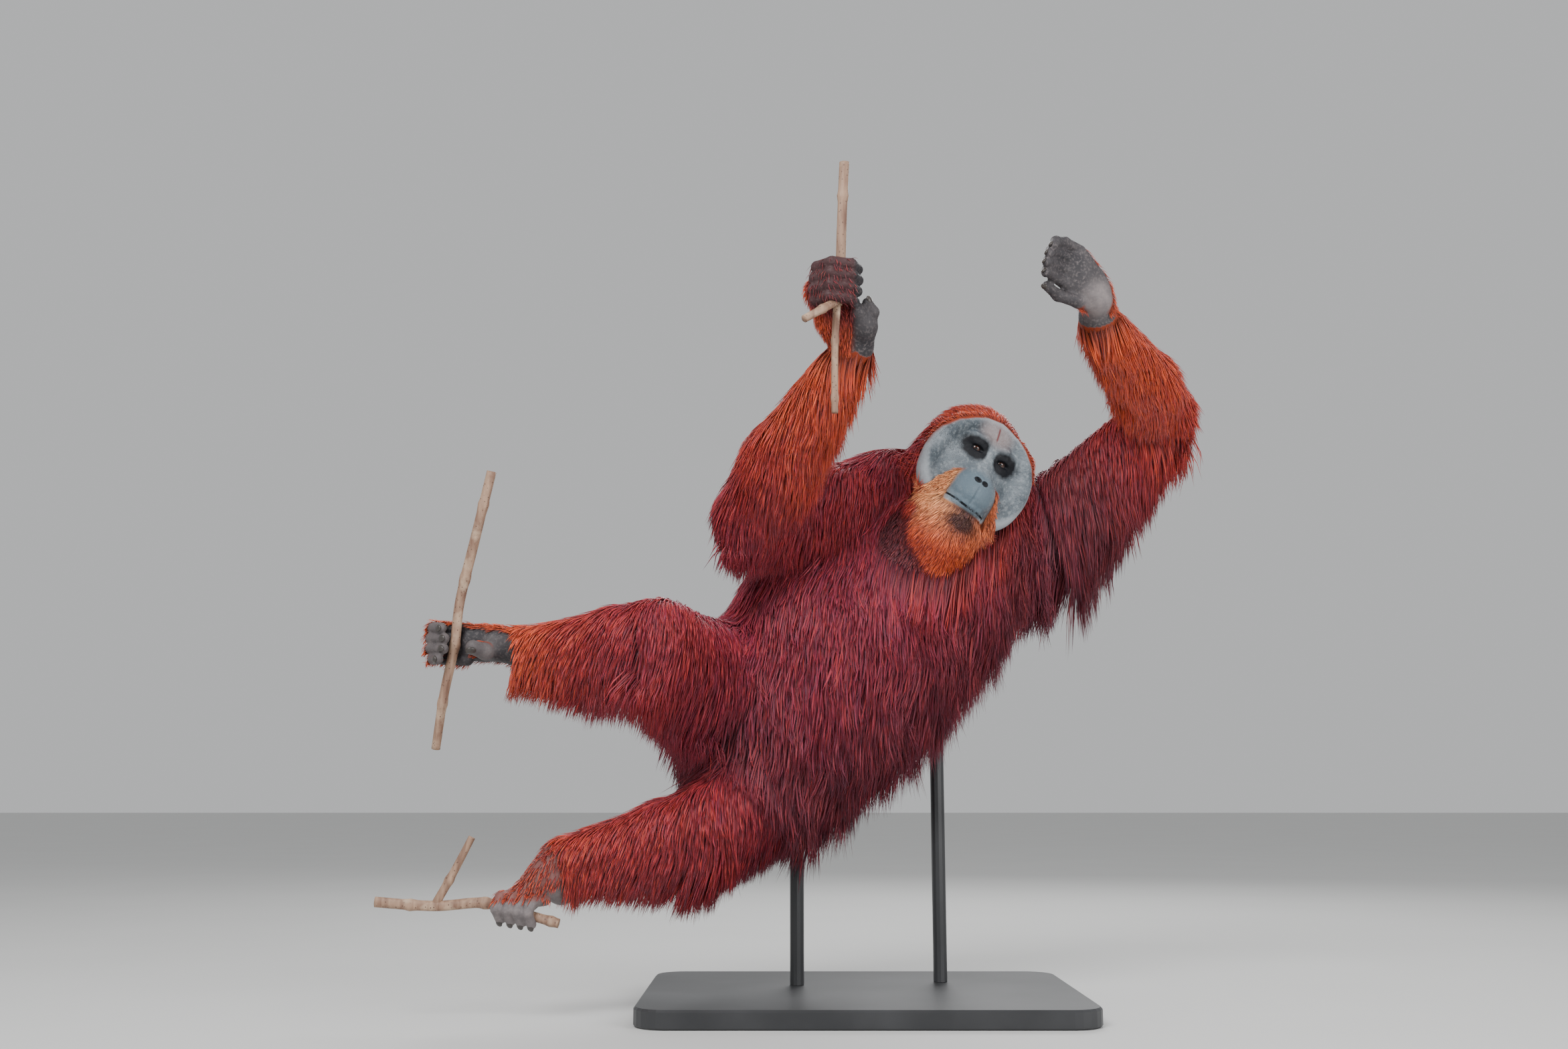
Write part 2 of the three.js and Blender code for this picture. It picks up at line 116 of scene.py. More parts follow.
class Bone:
    """A tapered rod with round ends."""

    def __init__(self, part, a, b, ra, rb, blend=0.02, cut=False):
        self.part, self.blend, self.cut = part, blend, cut
        self.a, self.b, self.ra, self.rb = np.asarray(a), np.asarray(b), ra, rb
        r = max(ra, rb)
        self.low, self.high = np.minimum(a, b) - r, np.maximum(a, b) + r

    def distance(self, p):
        axis = self.b - self.a
        t = np.clip(((p - self.a) @ axis) / (axis @ axis), 0.0, 1.0)
        gap = p - self.a - t[..., None] * axis
        return np.sqrt((gap * gap).sum(-1)) - (self.ra + (self.rb - self.ra) * t)


class Egg:
    """An ellipsoid turned by the columns of axes."""

    def __init__(self, part, centre, radii, axes=None, blend=0.03, cut=False):
        self.part, self.blend, self.cut = part, blend, cut
        self.centre, self.radii = np.asarray(centre), np.array(radii, dtype=float)
        self.axes = np.eye(3) if axes is None else axes
        reach = np.sqrt(((self.axes * self.radii) ** 2).sum(1))
        self.low, self.high = self.centre - reach, self.centre + reach

    def distance(self, p):
        q = ((p - self.centre) @ self.axes) / self.radii
        k0 = np.sqrt((q * q).sum(-1))
        k1 = np.sqrt(((q / self.radii) ** 2).sum(-1))
        return k0 * (k0 - 1.0) / np.maximum(k1, 1e-6)


def chain(part, points, radii, blend=0.02, cut=False):
    """Rods joined end to end."""
    pairs = zip(points, points[1:], radii, radii[1:])
    return [Bone(part, a, b, ra, rb, blend, cut) for a, b, ra, rb in pairs]


def digit(part, points, base, tip, blend=0.003):
    """A finger or toe that narrows to its tip."""
    return chain(part, [np.asarray(p) for p in points], list(np.linspace(base, tip, len(points))), blend)


def trunk_shapes():
    """Pelvis, belly, chest, shoulders and neck."""
    a = TRUNK_AXES
    return [
        Egg("trunk", PELVIS + SPINE_AXIS * 0.01, (0.190, 0.155, 0.175), a, 0.05),
        Egg("trunk", mm(-25, 56, 730), (0.222, 0.182, 0.26), a, 0.06),
        Egg("trunk", mm(118, 88, 872), (0.205, 0.165, 0.20), a, 0.06),
        Egg("trunk", mm(218, 108, 975), (0.170, 0.135, 0.14), a, 0.05),
        Egg("trunk", mm(95, -20, 850), (0.075, 0.05, 0.09), a, 0.06),
        Bone("trunk", SHOULDER_R, SHOULDER_L, 0.085, 0.085, 0.06),
        Bone("trunk", mm(224, 100, 1000), in_head(0, 110, -30), 0.115, 0.088, 0.04),
        Egg("throat", THROAT, (0.062, 0.052, 0.062), a, 0.035),
    ]


def limb_shapes():
    """Arms and legs without hands and feet."""
    made = chain("upper_arm_r", [SHOULDER_R, ELBOW_R], [0.078, 0.056], 0.04)
    middle = ELBOW_R * 0.68 + WRIST_R * 0.32
    made += chain("forearm_r", [ELBOW_R, middle, WRIST_R], [0.056, 0.066, 0.033], 0.025)
    made += chain("upper_arm_l", [SHOULDER_L, ELBOW_L], [0.082, 0.052], 0.04)
    middle = ELBOW_L * 0.68 + WRIST_L * 0.32
    made += chain("forearm_l", [ELBOW_L, middle, WRIST_L], [0.052, 0.058, 0.033], 0.025)
    made += chain("thigh_r", [HIP_R, KNEE_R], [0.105, 0.066], 0.05)
    middle = KNEE_R * 0.7 + ANKLE_R * 0.3
    made += chain("shin_r", [KNEE_R, middle, ANKLE_R], [0.064, 0.056, 0.032], 0.025)
    made += chain("thigh_l", [HIP_L, KNEE_L], [0.105, 0.064], 0.05)
    middle = KNEE_L * 0.7 + ANKLE_L * 0.3
    made += chain("shin_l", [KNEE_L, middle, ANKLE_L], [0.062, 0.055, 0.034], 0.025)
    return made


GRIP_TOP = np.array((-45.0, -402.0, 1361.0))
KNUCKLES_L = np.array((388.0, -342.0, 1386.0))
PALM_ACROSS_L = np.array((0.37, 0.0, 0.93))
PALM_ALONG_L = np.array((-0.75, -0.5, 0.35))


def right_fingers():
    """Points of the four fingers that wrap round the vine, top one first, in metres."""
    fingers = []
    for i, reach in enumerate((0, 5, 4, -3)):
        c = GRIP_TOP + np.array((-1.5, 3.0, -20.0)) * i
        steps = [(-36, 28, 0), (-44 - reach / 2, -2, 1), (-18, -27 - reach / 2, 2)]
        steps += [(18 + reach / 2, -22, 0), (30 + reach / 2, 2, -2), (16, 21, -3)]
        fingers.append([(c + s) / 1000.0 for s in steps])
    return fingers


def left_fingers():
    """Points of the four fingers that curl in over the open palm, in metres."""
    fingers = []
    for i, curl in enumerate((1, 1.04, 1, 0.9)):
        across = PALM_ACROSS_L * (36 - 24 * i)
        steps = [(6, 4, -2, 1), (-26 * curl, -22, 6, 0.96), (-46 * curl, -50, 2, 0.85)]
        steps.append((-54 * curl, -76 * curl, -12, 0.74))
        fingers.append([(KNUCKLES_L + (x, y, z) + across * s) / 1000.0 for x, y, z, s in steps])
    return fingers


def right_toes():
    """Points of the four toes that pass behind the vine and curl back in front."""
    toes = []
    for i, reach in enumerate((0, 6, 5, -4)):
        z = 712 - 19 * i
        behind = [(-740, -238, z), (-780, -238, z + 2)]
        in_front = [(-800 - reach / 2, -262, z), (-780 + reach, -288, z - 3)]
        toes.append([mm(*s) for s in behind + in_front])
    return toes


def left_toes():
    """Points of the four toes that close over the low branch."""
    toes = []
    for i in range(4):
        x, z = -662 + 19 * i, 220 - 3 * i
        steps = [(x + 16, -202, z + 6), (x - 4, -226, z + 4), (x - 10, -240, z - 16), (x - 4, -226, z - 36)]
        toes.append([mm(*s) for s in steps])
    return toes


THUMBS = {
    "hand_r": [mm(4, -350, 1258), mm(14, -378, 1284), mm(4, -384, 1300)],
    "hand_l": [mm(456, -288, 1326), mm(404, -326, 1322), mm(362, -350, 1326), mm(340, -358, 1342)],
    "foot_r": [mm(-682, -232, 672), mm(-702, -262, 668), mm(-722, -282, 674)],
    "foot_l": [mm(-596, -180, 226), mm(-622, -174, 206), mm(-640, -190, 186)],
}


def right_hand_shapes():
    """The hand that holds the vine."""
    palm = [WRIST_R, mm(-50, -346, 1280), mm(-76, -364, 1328), mm(-70, -370, 1352)]
    heel = [mm(-8, -334, 1238), mm(-2, -364, 1262), mm(-14, -384, 1280)]
    made = chain("hand_r", palm, [0.033, 0.036, 0.031, 0.022], 0.015)
    made += chain("hand_r", heel, [0.026, 0.024, 0.018], 0.01)
    for points in right_fingers():
        made += digit("hand_r", points, 0.0115, 0.0095)
    return made + digit("hand_r", THUMBS["hand_r"], 0.013, 0.010, 0.005)


def left_hand_shapes():
    """The raised open hand."""
    palm = np.array((PALM_ACROSS_L, unit(np.cross(PALM_ACROSS_L, PALM_ALONG_L)), PALM_ALONG_L)).T
    palm = np.linalg.qr(palm)[0]
    made = chain("hand_l", [WRIST_L, mm(442, -292, 1343)], [0.033, 0.030], 0.015)
    made.append(Egg("hand_l", mm(425, -312, 1358), (0.045, 0.021, 0.050), palm, 0.02))
    made.append(Egg("hand_l", mm(402, -334, 1377), (0.047, 0.017, 0.038), palm, 0.015))
    made += chain("hand_l", [mm(452, -296, 1330), mm(424, -318, 1336)], [0.021, 0.017], 0.015)
    for points in left_fingers():
        made += digit("hand_l", points, 0.0115, 0.0085, 0.005)
    return made + digit("hand_l", THUMBS["hand_l"], 0.014, 0.009, 0.006)


def right_foot_shapes():
    """The foot that grips the upright vine."""
    sole = [ANKLE_R, mm(-690, -229, 686), mm(-738, -237, 687)]
    made = chain("foot_r", sole, [0.033, 0.030, 0.020], 0.015)
    for start, end in ((702, 704), (670, 668)):
        made += chain("foot_r", [mm(-712, -232, start), mm(-736, -237, end)], [0.018, 0.015], 0.012)
    for points in right_toes():
        made += digit("foot_r", points, 0.0115, 0.0102)
    return made + digit("foot_r", THUMBS["foot_r"], 0.017, 0.0135, 0.006)


def left_foot_shapes():
    """The foot that grips the low branch."""
    sole = [ANKLE_L, mm(-590, -186, 254), mm(-632, -205, 226)]
    made = chain("foot_l", sole, [0.036, 0.034, 0.020], 0.015)
    made += chain("foot_l", [mm(-574, -177, 262), mm(-564, -171, 230)], [0.030, 0.025], 0.015)
    made += chain("foot_l", [mm(-612, -196, 236), mm(-612, -204, 222)], [0.024, 0.018], 0.012)
    for points in left_toes():
        made += digit("foot_l", points, 0.011, 0.0092)
    return made + digit("foot_l", THUMBS["foot_l"], 0.014, 0.0112, 0.005)


def face_front(shapes, x, z):
    """Where a line along the head's Y axis first meets the given shapes, in millimetres."""
    steps = np.arange(-110.0, 20.0, 0.25)
    local = np.stack([np.full(len(steps), x), steps, np.full(len(steps), z)], axis=1) / 1000.0
    line = HEAD_ORIGIN + local @ HEAD_AXES.T
    total = np.full(len(steps), FAR)
    for shape in shapes:
        total = join(total, shape.distance(line), shape)
    inside = np.flatnonzero(total < 0)
    return steps[inside[0]] if len(inside) else FACE_DEPTH


# How far back the face is taken to be where a line misses it, in millimetres.
FACE_DEPTH = -40.0

# Lines of the face in the head frame, in millimetres. Those of its left side are mirrored to the right.
MOUTH_LINE = [(-50, -110.5), (-38, -110), (-24, -111), (-8, -113)]
MOUTH_LINE += [(8, -113.5), (24, -113), (40, -113.5), (53, -115)]
PAD_RIM = [(44, 8, 54), (79, 4, 32), (99, 0, -4), (106, -4, -44), (98, -5, -88), (74, -3, -120)]
PAD_RIM_RADII = [9, 11, 12, 13, 13, 11]
BROW_RIDGE = [(6, -5, 19), (26, -12, 23), (46, -6, 17), (57, 2, -2)]
CHEEKBONE = [(12, -8, -17), (32, -7, -22), (52, -1, -15)]
UPPER_LID = [(14, -12, 5), (22, -16.5, 10.5), (32, -18, 12), (42, -14, 9.5), (49, -6, 2)]
LOWER_LID = [(15, -11, -5), (23, -15, -10.5), (32, -16, -12), (42, -12.5, -9.5), (48, -6, -3)]
NOSTRIL_WING = [(20, -38, -58), (22, -46, -68)]
NOSE_BRIDGE = [(0, -11, 4), (0, -16, -16), (0, -32, -42)]
NOSTRIL_X, NOSTRIL_SHIFT, NOSTRIL_Z = 8.5, -1.5, -54.5
NOSTRIL_SLANT = math.radians(-24.0)


def head_egg(x, y, z, radii, blend=0.015, cut=False):
    """An ellipsoid of the head, its centre and radii in millimetres of the head frame."""
    return Egg("head", in_head(x, y, z), np.array(radii) / 1000.0, HEAD_AXES, blend, cut)


def head_rods(points, radii, blend=0.01, cut=False):
    """Rods of the head through points given in millimetres of the head frame."""
    return chain("head", [in_head(*p) for p in points], [r / 1000.0 for r in radii], blend, cut)


def mirrored(points, side):
    """Points of the head's left side for a side of 1, and the same on its right for -1."""
    return [(side * x, y, z) for x, y, z in points]


def skull_shapes():
    """Skull, jaw, muzzle and chin."""
    return [
        head_egg(0, 88, 8, (92, 98, 85), 0.03),
        head_egg(0, 26, -22, (92, 24, 84), 0.02),
        head_egg(0, 22, 34, (70, 24, 36), 0.02),
        head_egg(0, 24, -96, (80, 60, 44), 0.03),
        head_egg(0, -22, -84, (46, 46, 44), 0.018),
        head_egg(0, -32, -88, (44, 37, 30), 0.012),
        head_egg(-2, -30, -132, (43, 37, 23), 0.012),
        head_egg(-8, -26, -160, (72, 34, 44), 0.03),
        head_egg(-12, -34, -196, (52, 26, 36), 0.03),
    ]


def face_side_shapes(side):
    """Cheek pad, brow, cheekbone, eye socket, lids, nostril wing and ear of one side."""
    eye = side * EYE_SPACING * 1000
    corners = np.arange(len(PAD_RIM))
    bends = np.linspace(0, corners[-1], 17)
    rim = np.array(mirrored(PAD_RIM, side), dtype=float)
    rim = np.stack([smooth_line(bends, corners, rim[:, i]) for i in range(3)], axis=1)
    made = head_rods(rim, np.interp(bends, corners, PAD_RIM_RADII), 0.012)
    made.append(head_egg(side * 78, 8, -48, (34, 12, 58), 0.02))
    made += head_rods(mirrored(BROW_RIDGE, side), [8, 9.5, 9, 7], 0.012)
    made += head_rods(mirrored(CHEEKBONE, side), [7, 7, 7], 0.014)
    made.append(head_egg(eye, -21, 0, (17, 9, 12), 0.009, True))
    made.append(head_egg(eye, -5.6, 0, (14.8, 13.8, 13.8), 0.004))
    made += head_rods(mirrored(UPPER_LID, side), [2.0, 2.8, 3.0, 2.8, 2.0], 0.008)
    made += head_rods(mirrored(LOWER_LID, side), [2.0, 2.6, 2.8, 2.6, 2.0], 0.008)
    made.append(head_egg(eye, -22, 0.3, (18, 12.8, 7.3), 0.002, True))
    made.append(head_egg(side * 11, -46, -55, (11, 11, 9.5), 0.006))
    made += head_rods(mirrored(NOSTRIL_WING, side), [3, 2.4], 0.006)
    made.append(head_egg(side * 97, 66, 2, (9, 12, 18), 0.01))
    return made


def mouth_shapes(face):
    """Lips, the gap between them, the groove above them and the nostrils, set on the given face."""
    upper = [(x, face_front(face, x, z + 5) + 3.0, z + 5) for x, z in MOUTH_LINE]
    lower = [(x, face_front(face, x, z - 6) + 1.5, z - 6) for x, z in MOUTH_LINE]
    made = head_rods(upper, [2.0, 4.0, 5.0, 5.5, 5.5, 5.0, 4.0, 2.0], 0.006)
    made += head_rods(lower, [2.0, 4.4, 5.6, 6.2, 6.2, 5.6, 4.4, 2.0], 0.005)
    whole = face + made
    mouth_x, mouth_z = np.array(MOUTH_LINE, dtype=float).T
    across = np.linspace(mouth_x[0], mouth_x[-1], 20)
    heights = np.interp(across, mouth_x, mouth_z)
    gap = [(x, face_front(whole, x, z) + 0.7, z) for x, z in zip(across, heights)]
    gap_radii = np.interp(across, mouth_x, [0.8, 1.6, 1.9, 2.0, 2.1, 2.3, 2.4, 1.2])
    made += head_rods(gap, gap_radii, 0.0012, True)
    groove = [(0, face_front(whole, 0, z) - 0.1, z) for z in (-67, -80, -94, -104)]
    made += head_rods(groove, [0.8, 1.2, 1.2, 0.7], 0.005, True)
    for side in (-1, 1):
        x = side * NOSTRIL_X + NOSTRIL_SHIFT
        front = face_front(whole, x, NOSTRIL_Z)
        slant = HEAD_AXES @ np.array(Matrix.Rotation(side * NOSTRIL_SLANT, 3, "Y"))
        made.append(Egg("head", in_head(x, front, NOSTRIL_Z), mm(6.8, 7, 3.5), slant, 0.002, True))
        made.append(head_egg(x - side * 4.0, front + 0.5, NOSTRIL_Z - 3.0, (3.0, 6, 3.2), 0.002, True))
    return made


def face_shapes():
    """The whole head."""
    made = skull_shapes() + face_side_shapes(-1) + face_side_shapes(1)
    made += head_rods(NOSE_BRIDGE, [8, 7, 8.5], 0.012)
    made.append(head_egg(0, -55, -57, (6, 6, 7), 0.006))
    made += mouth_shapes(made)
    made.append(Bone("head", in_head(0, 30, -70), in_head(0, 110, -40), 0.075, 0.085, 0.03))
    return made


@functools.lru_cache(maxsize=None)
def body_shapes():
    """Every shape of the flesh, those that cut last in their own region."""
    hands = right_hand_shapes() + left_hand_shapes()
    feet = right_foot_shapes() + left_foot_shapes()
    return trunk_shapes() + limb_shapes() + hands + feet + face_shapes()


# The field's value far from the body, and how far from a shape it still counts, in metres.
FAR = 0.25
REACH = 0.07


def join(total, near, shape):
    """Adds a shape to a distance field with a rounded seam, or cuts it away."""
    k = shape.blend
    if shape.cut:
        h = np.maximum(k - np.abs(total + near), 0.0) / k
        return np.maximum(total, -near) + h * h * k * 0.25
    h = np.maximum(k - np.abs(total - near), 0.0) / k
    return np.minimum(total, near) - h * h * k * 0.25


def field(points):
    """Distance from the skin at each point, negative inside."""
    total = np.full(len(points), FAR)
    for shape in body_shapes():
        near = np.flatnonzero(((points > shape.low - REACH) & (points < shape.high + REACH)).all(1))
        if len(near):
            total[near] = join(total[near], shape.distance(points[near]), shape)
    return total


def slope(points, step=0.0004):
    """Distance from the skin and its gradient."""
    here = field(points)
    moved = [field(points + np.eye(3)[i] * step) for i in range(3)]
    return here, np.stack([(m - here) / step for m in moved], axis=1)


@functools.lru_cache(maxsize=None)
def field_grid(step):
    """The distance field on an even grid round the whole body: origin, step and values."""
    shapes = body_shapes()
    low = np.min([s.low for s in shapes], axis=0) - 0.075
    high = np.max([s.high for s in shapes], axis=0) + 0.075
    size = np.ceil((high - low) / step).astype(int) + 1
    lines = [low[i] + step * np.arange(size[i]) for i in range(3)]
    values = np.full(size, FAR, dtype=np.float32)
    for shape in shapes:
        a = np.maximum(np.floor((shape.low - REACH - low) / step).astype(int), 0)
        b = np.minimum(np.ceil((shape.high + REACH - low) / step).astype(int) + 1, size)
        block = tuple(slice(i, j) for i, j in zip(a, b))
        grid = np.stack(np.meshgrid(*[line[s] for line, s in zip(lines, block)], indexing="ij"), axis=-1)
        values[block] = join(values[block], shape.distance(grid).astype(np.float32), shape)
    return low, step, values


@functools.lru_cache(maxsize=None)
def slope_grid(step):
    """The gradient of the grid's field beside its values."""
    values = field_grid(step)[2]
    return np.stack([values, *np.gradient(values, step)], axis=-1)


def look_up(points, step):
    """Field and gradient at points, read from the grid between its nodes."""
    low, step, values = field_grid(step)
    table = slope_grid(step)
    q = (points - low) / step
    cell = np.clip(np.floor(q).astype(int), 0, np.array(values.shape) - 2)
    f = np.clip(q - cell, 0.0, 1.0)
    out = 0.0
    for corner in np.ndindex(2, 2, 2):
        weight = np.prod(np.where(corner, f, 1.0 - f), axis=1)
        i, j, k = (cell + corner).T
        out = out + weight[:, None] * table[i, j, k]
    return out[:, 0], out[:, 1:]


def surface_net(low, step, values):
    """Vertices and triangles of the zero surface of a gridded field."""
    inside = values < 0.0
    size = np.array(values.shape) - 1
    count = np.zeros(size, np.uint8)
    corners = list(np.ndindex(2, 2, 2))
    for a, b, c in corners:
        count += inside[a : size[0] + a, b : size[1] + b, c : size[2] + c]
    cells = np.argwhere((count > 0) & (count < 8))
    number = np.full(size, -1, np.int64)
    number[tuple(cells.T)] = np.arange(len(cells))
    at = {c: values[tuple((cells + c).T)].astype(float) for c in corners}
    total, hits = np.zeros((len(cells), 3)), np.zeros(len(cells))
    for corner in corners:
        for axis in range(3):
            if corner[axis]:
                continue
            other = tuple(1 if i == axis else corner[i] for i in range(3))
            va, vb = at[corner], at[other]
            crossed = np.flatnonzero((va < 0) != (vb < 0))
            t = va[crossed] / (va[crossed] - vb[crossed])
            total[crossed] += corner
            total[crossed, axis] += t
            hits[crossed] += 1
    vertices = (cells + total / hits[:, None]) * step + low
    quads = []
    for axis in range(3):
        u, v = (axis + 1) % 3, (axis + 2) % 3
        first = np.take(inside, range(size[axis]), axis=axis)
        second = np.take(inside, range(1, size[axis] + 1), axis=axis)
        edge = np.argwhere(first != second)
        edge = edge[(edge[:, u] > 0) & (edge[:, v] > 0) & (edge[:, u] < size[u]) & (edge[:, v] < size[v])]
        du, dv = np.eye(3, dtype=int)[u], np.eye(3, dtype=int)[v]
        ring = np.stack([number[tuple((edge - m).T)] for m in (du + dv, dv, 0 * du, du)], axis=1)
        out = first[tuple(edge.T)]
        quads.append(np.where(out[:, None], ring, ring[:, ::-1]))
    q = np.concatenate(quads)
    short = np.linalg.norm(vertices[q[:, 0]] - vertices[q[:, 2]], axis=1) < np.linalg.norm(
        vertices[q[:, 1]] - vertices[q[:, 3]], axis=1
    )
    one = np.where(short[:, None], q[:, [0, 1, 2]], q[:, [0, 1, 3]])
    two = np.where(short[:, None], q[:, [0, 2, 3]], q[:, [1, 2, 3]])
    return vertices, np.concatenate([one, two])


def refine(vertices, triangles, chosen):
    """Splits the chosen triangles in four, and those beside them so that no crack is left."""
    n = len(vertices)
    sides = np.stack([triangles, np.roll(triangles, -1, axis=1)], axis=-1)
    low, high = sides.min(-1), sides.max(-1)
    keys, where = np.unique(low * n + high, return_inverse=True)
    where = where.reshape(triangles.shape)
    split = np.zeros(len(keys), bool)
    split[where[chosen].ravel()] = True
    middle = np.where(split, n + np.cumsum(split) - 1, -1)[where]
    ends = keys[split]
    vertices = np.concatenate([vertices, (vertices[ends // n] + vertices[ends % n]) / 2])
    count = (middle >= 0).sum(1)
    made = [triangles[count == 0]]
    a, b, c = triangles[count == 3].T
    x, y, z = middle[count == 3].T
    made += [np.stack(t, axis=1) for t in ((a, x, z), (x, b, y), (z, y, c), (x, y, z))]
    for turn in range(3):
        order = [turn, (turn + 1) % 3, (turn + 2) % 3]
        t, m = triangles[:, order], middle[:, order]
        one = (count == 1) & (m[:, 0] >= 0)
        (a, b, c), x = t[one].T, m[one, 0]
        made += [np.stack([a, x, c], axis=1), np.stack([x, b, c], axis=1)]
        two = (count == 2) & (m[:, 2] < 0)
        (a, b, c), x, y = t[two].T, m[two, 0], m[two, 1]
        made += [np.stack([x, b, y], axis=1), np.stack([a, x, y], axis=1), np.stack([a, y, c], axis=1)]
    return vertices, np.concatenate(made)


def settle(vertices, chosen, rounds=2):
    """Moves the chosen vertices onto the zero surface."""
    for _ in range(rounds):
        p = vertices[chosen]
        d, g = slope(p)
        size = np.maximum((g * g).sum(1), 0.25)
        vertices[chosen] = p - g * np.clip(d / size, -0.003, 0.003)[:, None]
    return vertices


def relax(vertices, triangles, chosen, amount=0.5):
    """Evens out the spacing of the chosen vertices by drawing each towards its neighbours' mean."""
    n = len(vertices)
    total, count = np.zeros((n, 3)), np.zeros(n)
    for i, j in ((0, 1), (1, 2), (2, 0)):
        for p, q in ((triangles[:, i], triangles[:, j]), (triangles[:, j], triangles[:, i])):
            count += np.bincount(p, minlength=n)
            for axis in range(3):
                total[:, axis] += np.bincount(p, weights=vertices[q, axis], minlength=n)
    mean = total / np.maximum(count, 1)[:, None]
    vertices[chosen] += (mean[chosen] - vertices[chosen]) * amount
    return vertices


def vertex_normals(vertices, triangles):
    """Area-weighted normals."""
    a, b, c = (vertices[triangles[:, i]] for i in range(3))
    face = np.cross(b - a, c - a)
    total = np.zeros_like(vertices)
    for i in range(3):
        for axis in range(3):
            total[:, axis] += np.bincount(triangles[:, i], weights=face[:, axis], minlength=len(vertices))
    return unit(total)


def fine_zones(p):
    """How many times the skin is split at each point: most round the eyes, the nose and the mouth."""
    level = np.zeros(len(p), int)
    for start, end, r in (
        (WRIST_R, mm(-50, -395, 1330), 0.085),
        (WRIST_L, mm(360, -370, 1385), 0.085),
        (mm(-670, -228, 684), mm(-775, -260, 684), 0.065),
        (mm(-580, -180, 262), mm(-650, -220, 205), 0.065),
    ):
        level[Bone("", start, end, r, r).distance(p) < 0] = 1
    h = to_head(p)
    rim = (h[:, 1] < 0.035) & (np.abs(h[:, 0]) < 0.15) & (h[:, 2] > -0.15) & (h[:, 2] < 0.09)
    face = (h[:, 1] < 0.02) & (np.abs(h[:, 0]) < 0.085) & (h[:, 2] > -0.135) & (h[:, 2] < 0.06)
    level[rim] = 1
    level[face] = 2
    x, y, z = np.abs(h[:, 0]), h[:, 1], h[:, 2]
    eyes = (np.abs(x - EYE_SPACING) < 0.021) & (np.abs(z) < 0.016) & (y < 0.0)
    mouth = (x < 0.060) & (z < -0.106) & (z > -0.122) & (y < -0.015)
    nose = (x < 0.020) & (z < -0.048) & (z > -0.066) & (y < -0.035)
    level[eyes | mouth | nose] = 3
    return level


@functools.lru_cache(maxsize=None)
def skin_mesh(step):
    """Vertices, triangles and normals of the whole skin."""
    vertices, triangles = surface_net(*field_grid(step))
    everywhere = np.ones(len(vertices), bool)
    vertices = settle(relax(vertices, triangles, everywhere, 0.4), everywhere, 1)
    for level in (1, 2, 3):
        centre = vertices[triangles].mean(1)
        vertices, triangles = refine(vertices, triangles, fine_zones(centre) >= level)
        near = fine_zones(vertices) >= level
        vertices = settle(relax(vertices, triangles, near, 0.35), near, 2)
    near = fine_zones(vertices) >= 3
    vertices = settle(vertices, near, 1)
    return vertices, triangles, vertex_normals(vertices, triangles)


def part_gaps(points):
    """Each point's distance from every body part, one row for each of PART_NAMES."""
    best = np.full((len(PART_NAMES), len(points)), 9.0)
    for shape in body_shapes():
        if not shape.cut:
            row = PART_NAMES.index(shape.part)
            best[row] = np.minimum(best[row], shape.distance(points))
    return best


def parts_of(points):
    """The body part nearest to each point, as a number into PART_NAMES."""
    return part_gaps(points).argmin(0)


class Hair(NamedTuple):
    """The coat of one part: its axis along the lie of the hair, and what the hair is like along it."""

    start: np.ndarray
    end: np.ndarray
    top: float
    under: float
    width: float
    droop: float
    lift: float
    orange_start: float
    orange_end: float
    taper: float = 1.0


# Lengths are on the part's upper side and its underside, in metres. Lift is how far the locks stand off the
# skin, orange is 0 for maroon and 1 for orange, and taper is the length at the end against the start.
COAT = {
    "trunk": Hair(CHEST_TOP, PELVIS, 0.085, 0.20, 0.0046, 0.9, 0.10, 0.10, 0.14),
    "throat": Hair(in_head(0, -30, -150), THROAT, 0.030, 0.04, 0.0034, 0.5, 0.08, 0.0, 0.05),
    "head": Hair(in_head(0, -20, 60), in_head(0, 160, 0), 0.045, 0.05, 0.0026, 0.10, 0.03, 0.90, 0.45),
    "upper_arm_r": Hair(SHOULDER_R, ELBOW_R, 0.085, 0.12, 0.0042, 0.9, 0.16, 0.30, 0.22, 0.8),
    "forearm_r": Hair(WRIST_R, ELBOW_R, 0.08, 0.105, 0.0040, 0.6, 0.16, 0.85, 0.22),
    "upper_arm_l": Hair(SHOULDER_L, ELBOW_L, 0.10, 0.25, 0.0045, 1.6, 0.14, 0.10, 0.5, 0.42),
    "forearm_l": Hair(WRIST_L, ELBOW_L, 0.07, 0.09, 0.0040, 0.5, 0.16, 0.85, 0.6, 0.85),
    "thigh_r": Hair(HIP_R, KNEE_R, 0.08, 0.17, 0.0044, 0.9, 0.14, 0.08, 0.28, 0.8),
    "shin_r": Hair(KNEE_R, ANKLE_R, 0.07, 0.14, 0.0042, 0.8, 0.14, 0.24, 0.85, 0.6),
    "thigh_l": Hair(HIP_L, KNEE_L, 0.075, 0.13, 0.0044, 0.9, 0.12, 0.15, 0.3),
    "shin_l": Hair(KNEE_L, ANKLE_L, 0.075, 0.12, 0.0042, 0.8, 0.14, 0.35, 0.55, 0.6),
    "hand_r": Hair(mm(-80, -390, 1350), WRIST_R, 0.018, 0.018, 0.0020, 0.2, 0.12, 0.8, 0.9),
    "hand_l": Hair(mm(380, -350, 1390), WRIST_L, 0.02, 0.02, 0.0020, 0.2, 0.12, 0.8, 0.95),
    "foot_r": Hair(ANKLE_R, mm(-760, -240, 690), 0.020, 0.020, 0.0022, 0.3, 0.12, 0.85, 1.0),
    "foot_l": Hair(ANKLE_L, mm(-650, -215, 215), 0.020, 0.020, 0.0022, 0.4, 0.12, 0.7, 0.8),
}
PART_NAMES = list(COAT)
HANDS_AND_FEET = ("hand_r", "hand_l", "foot_r", "foot_l")


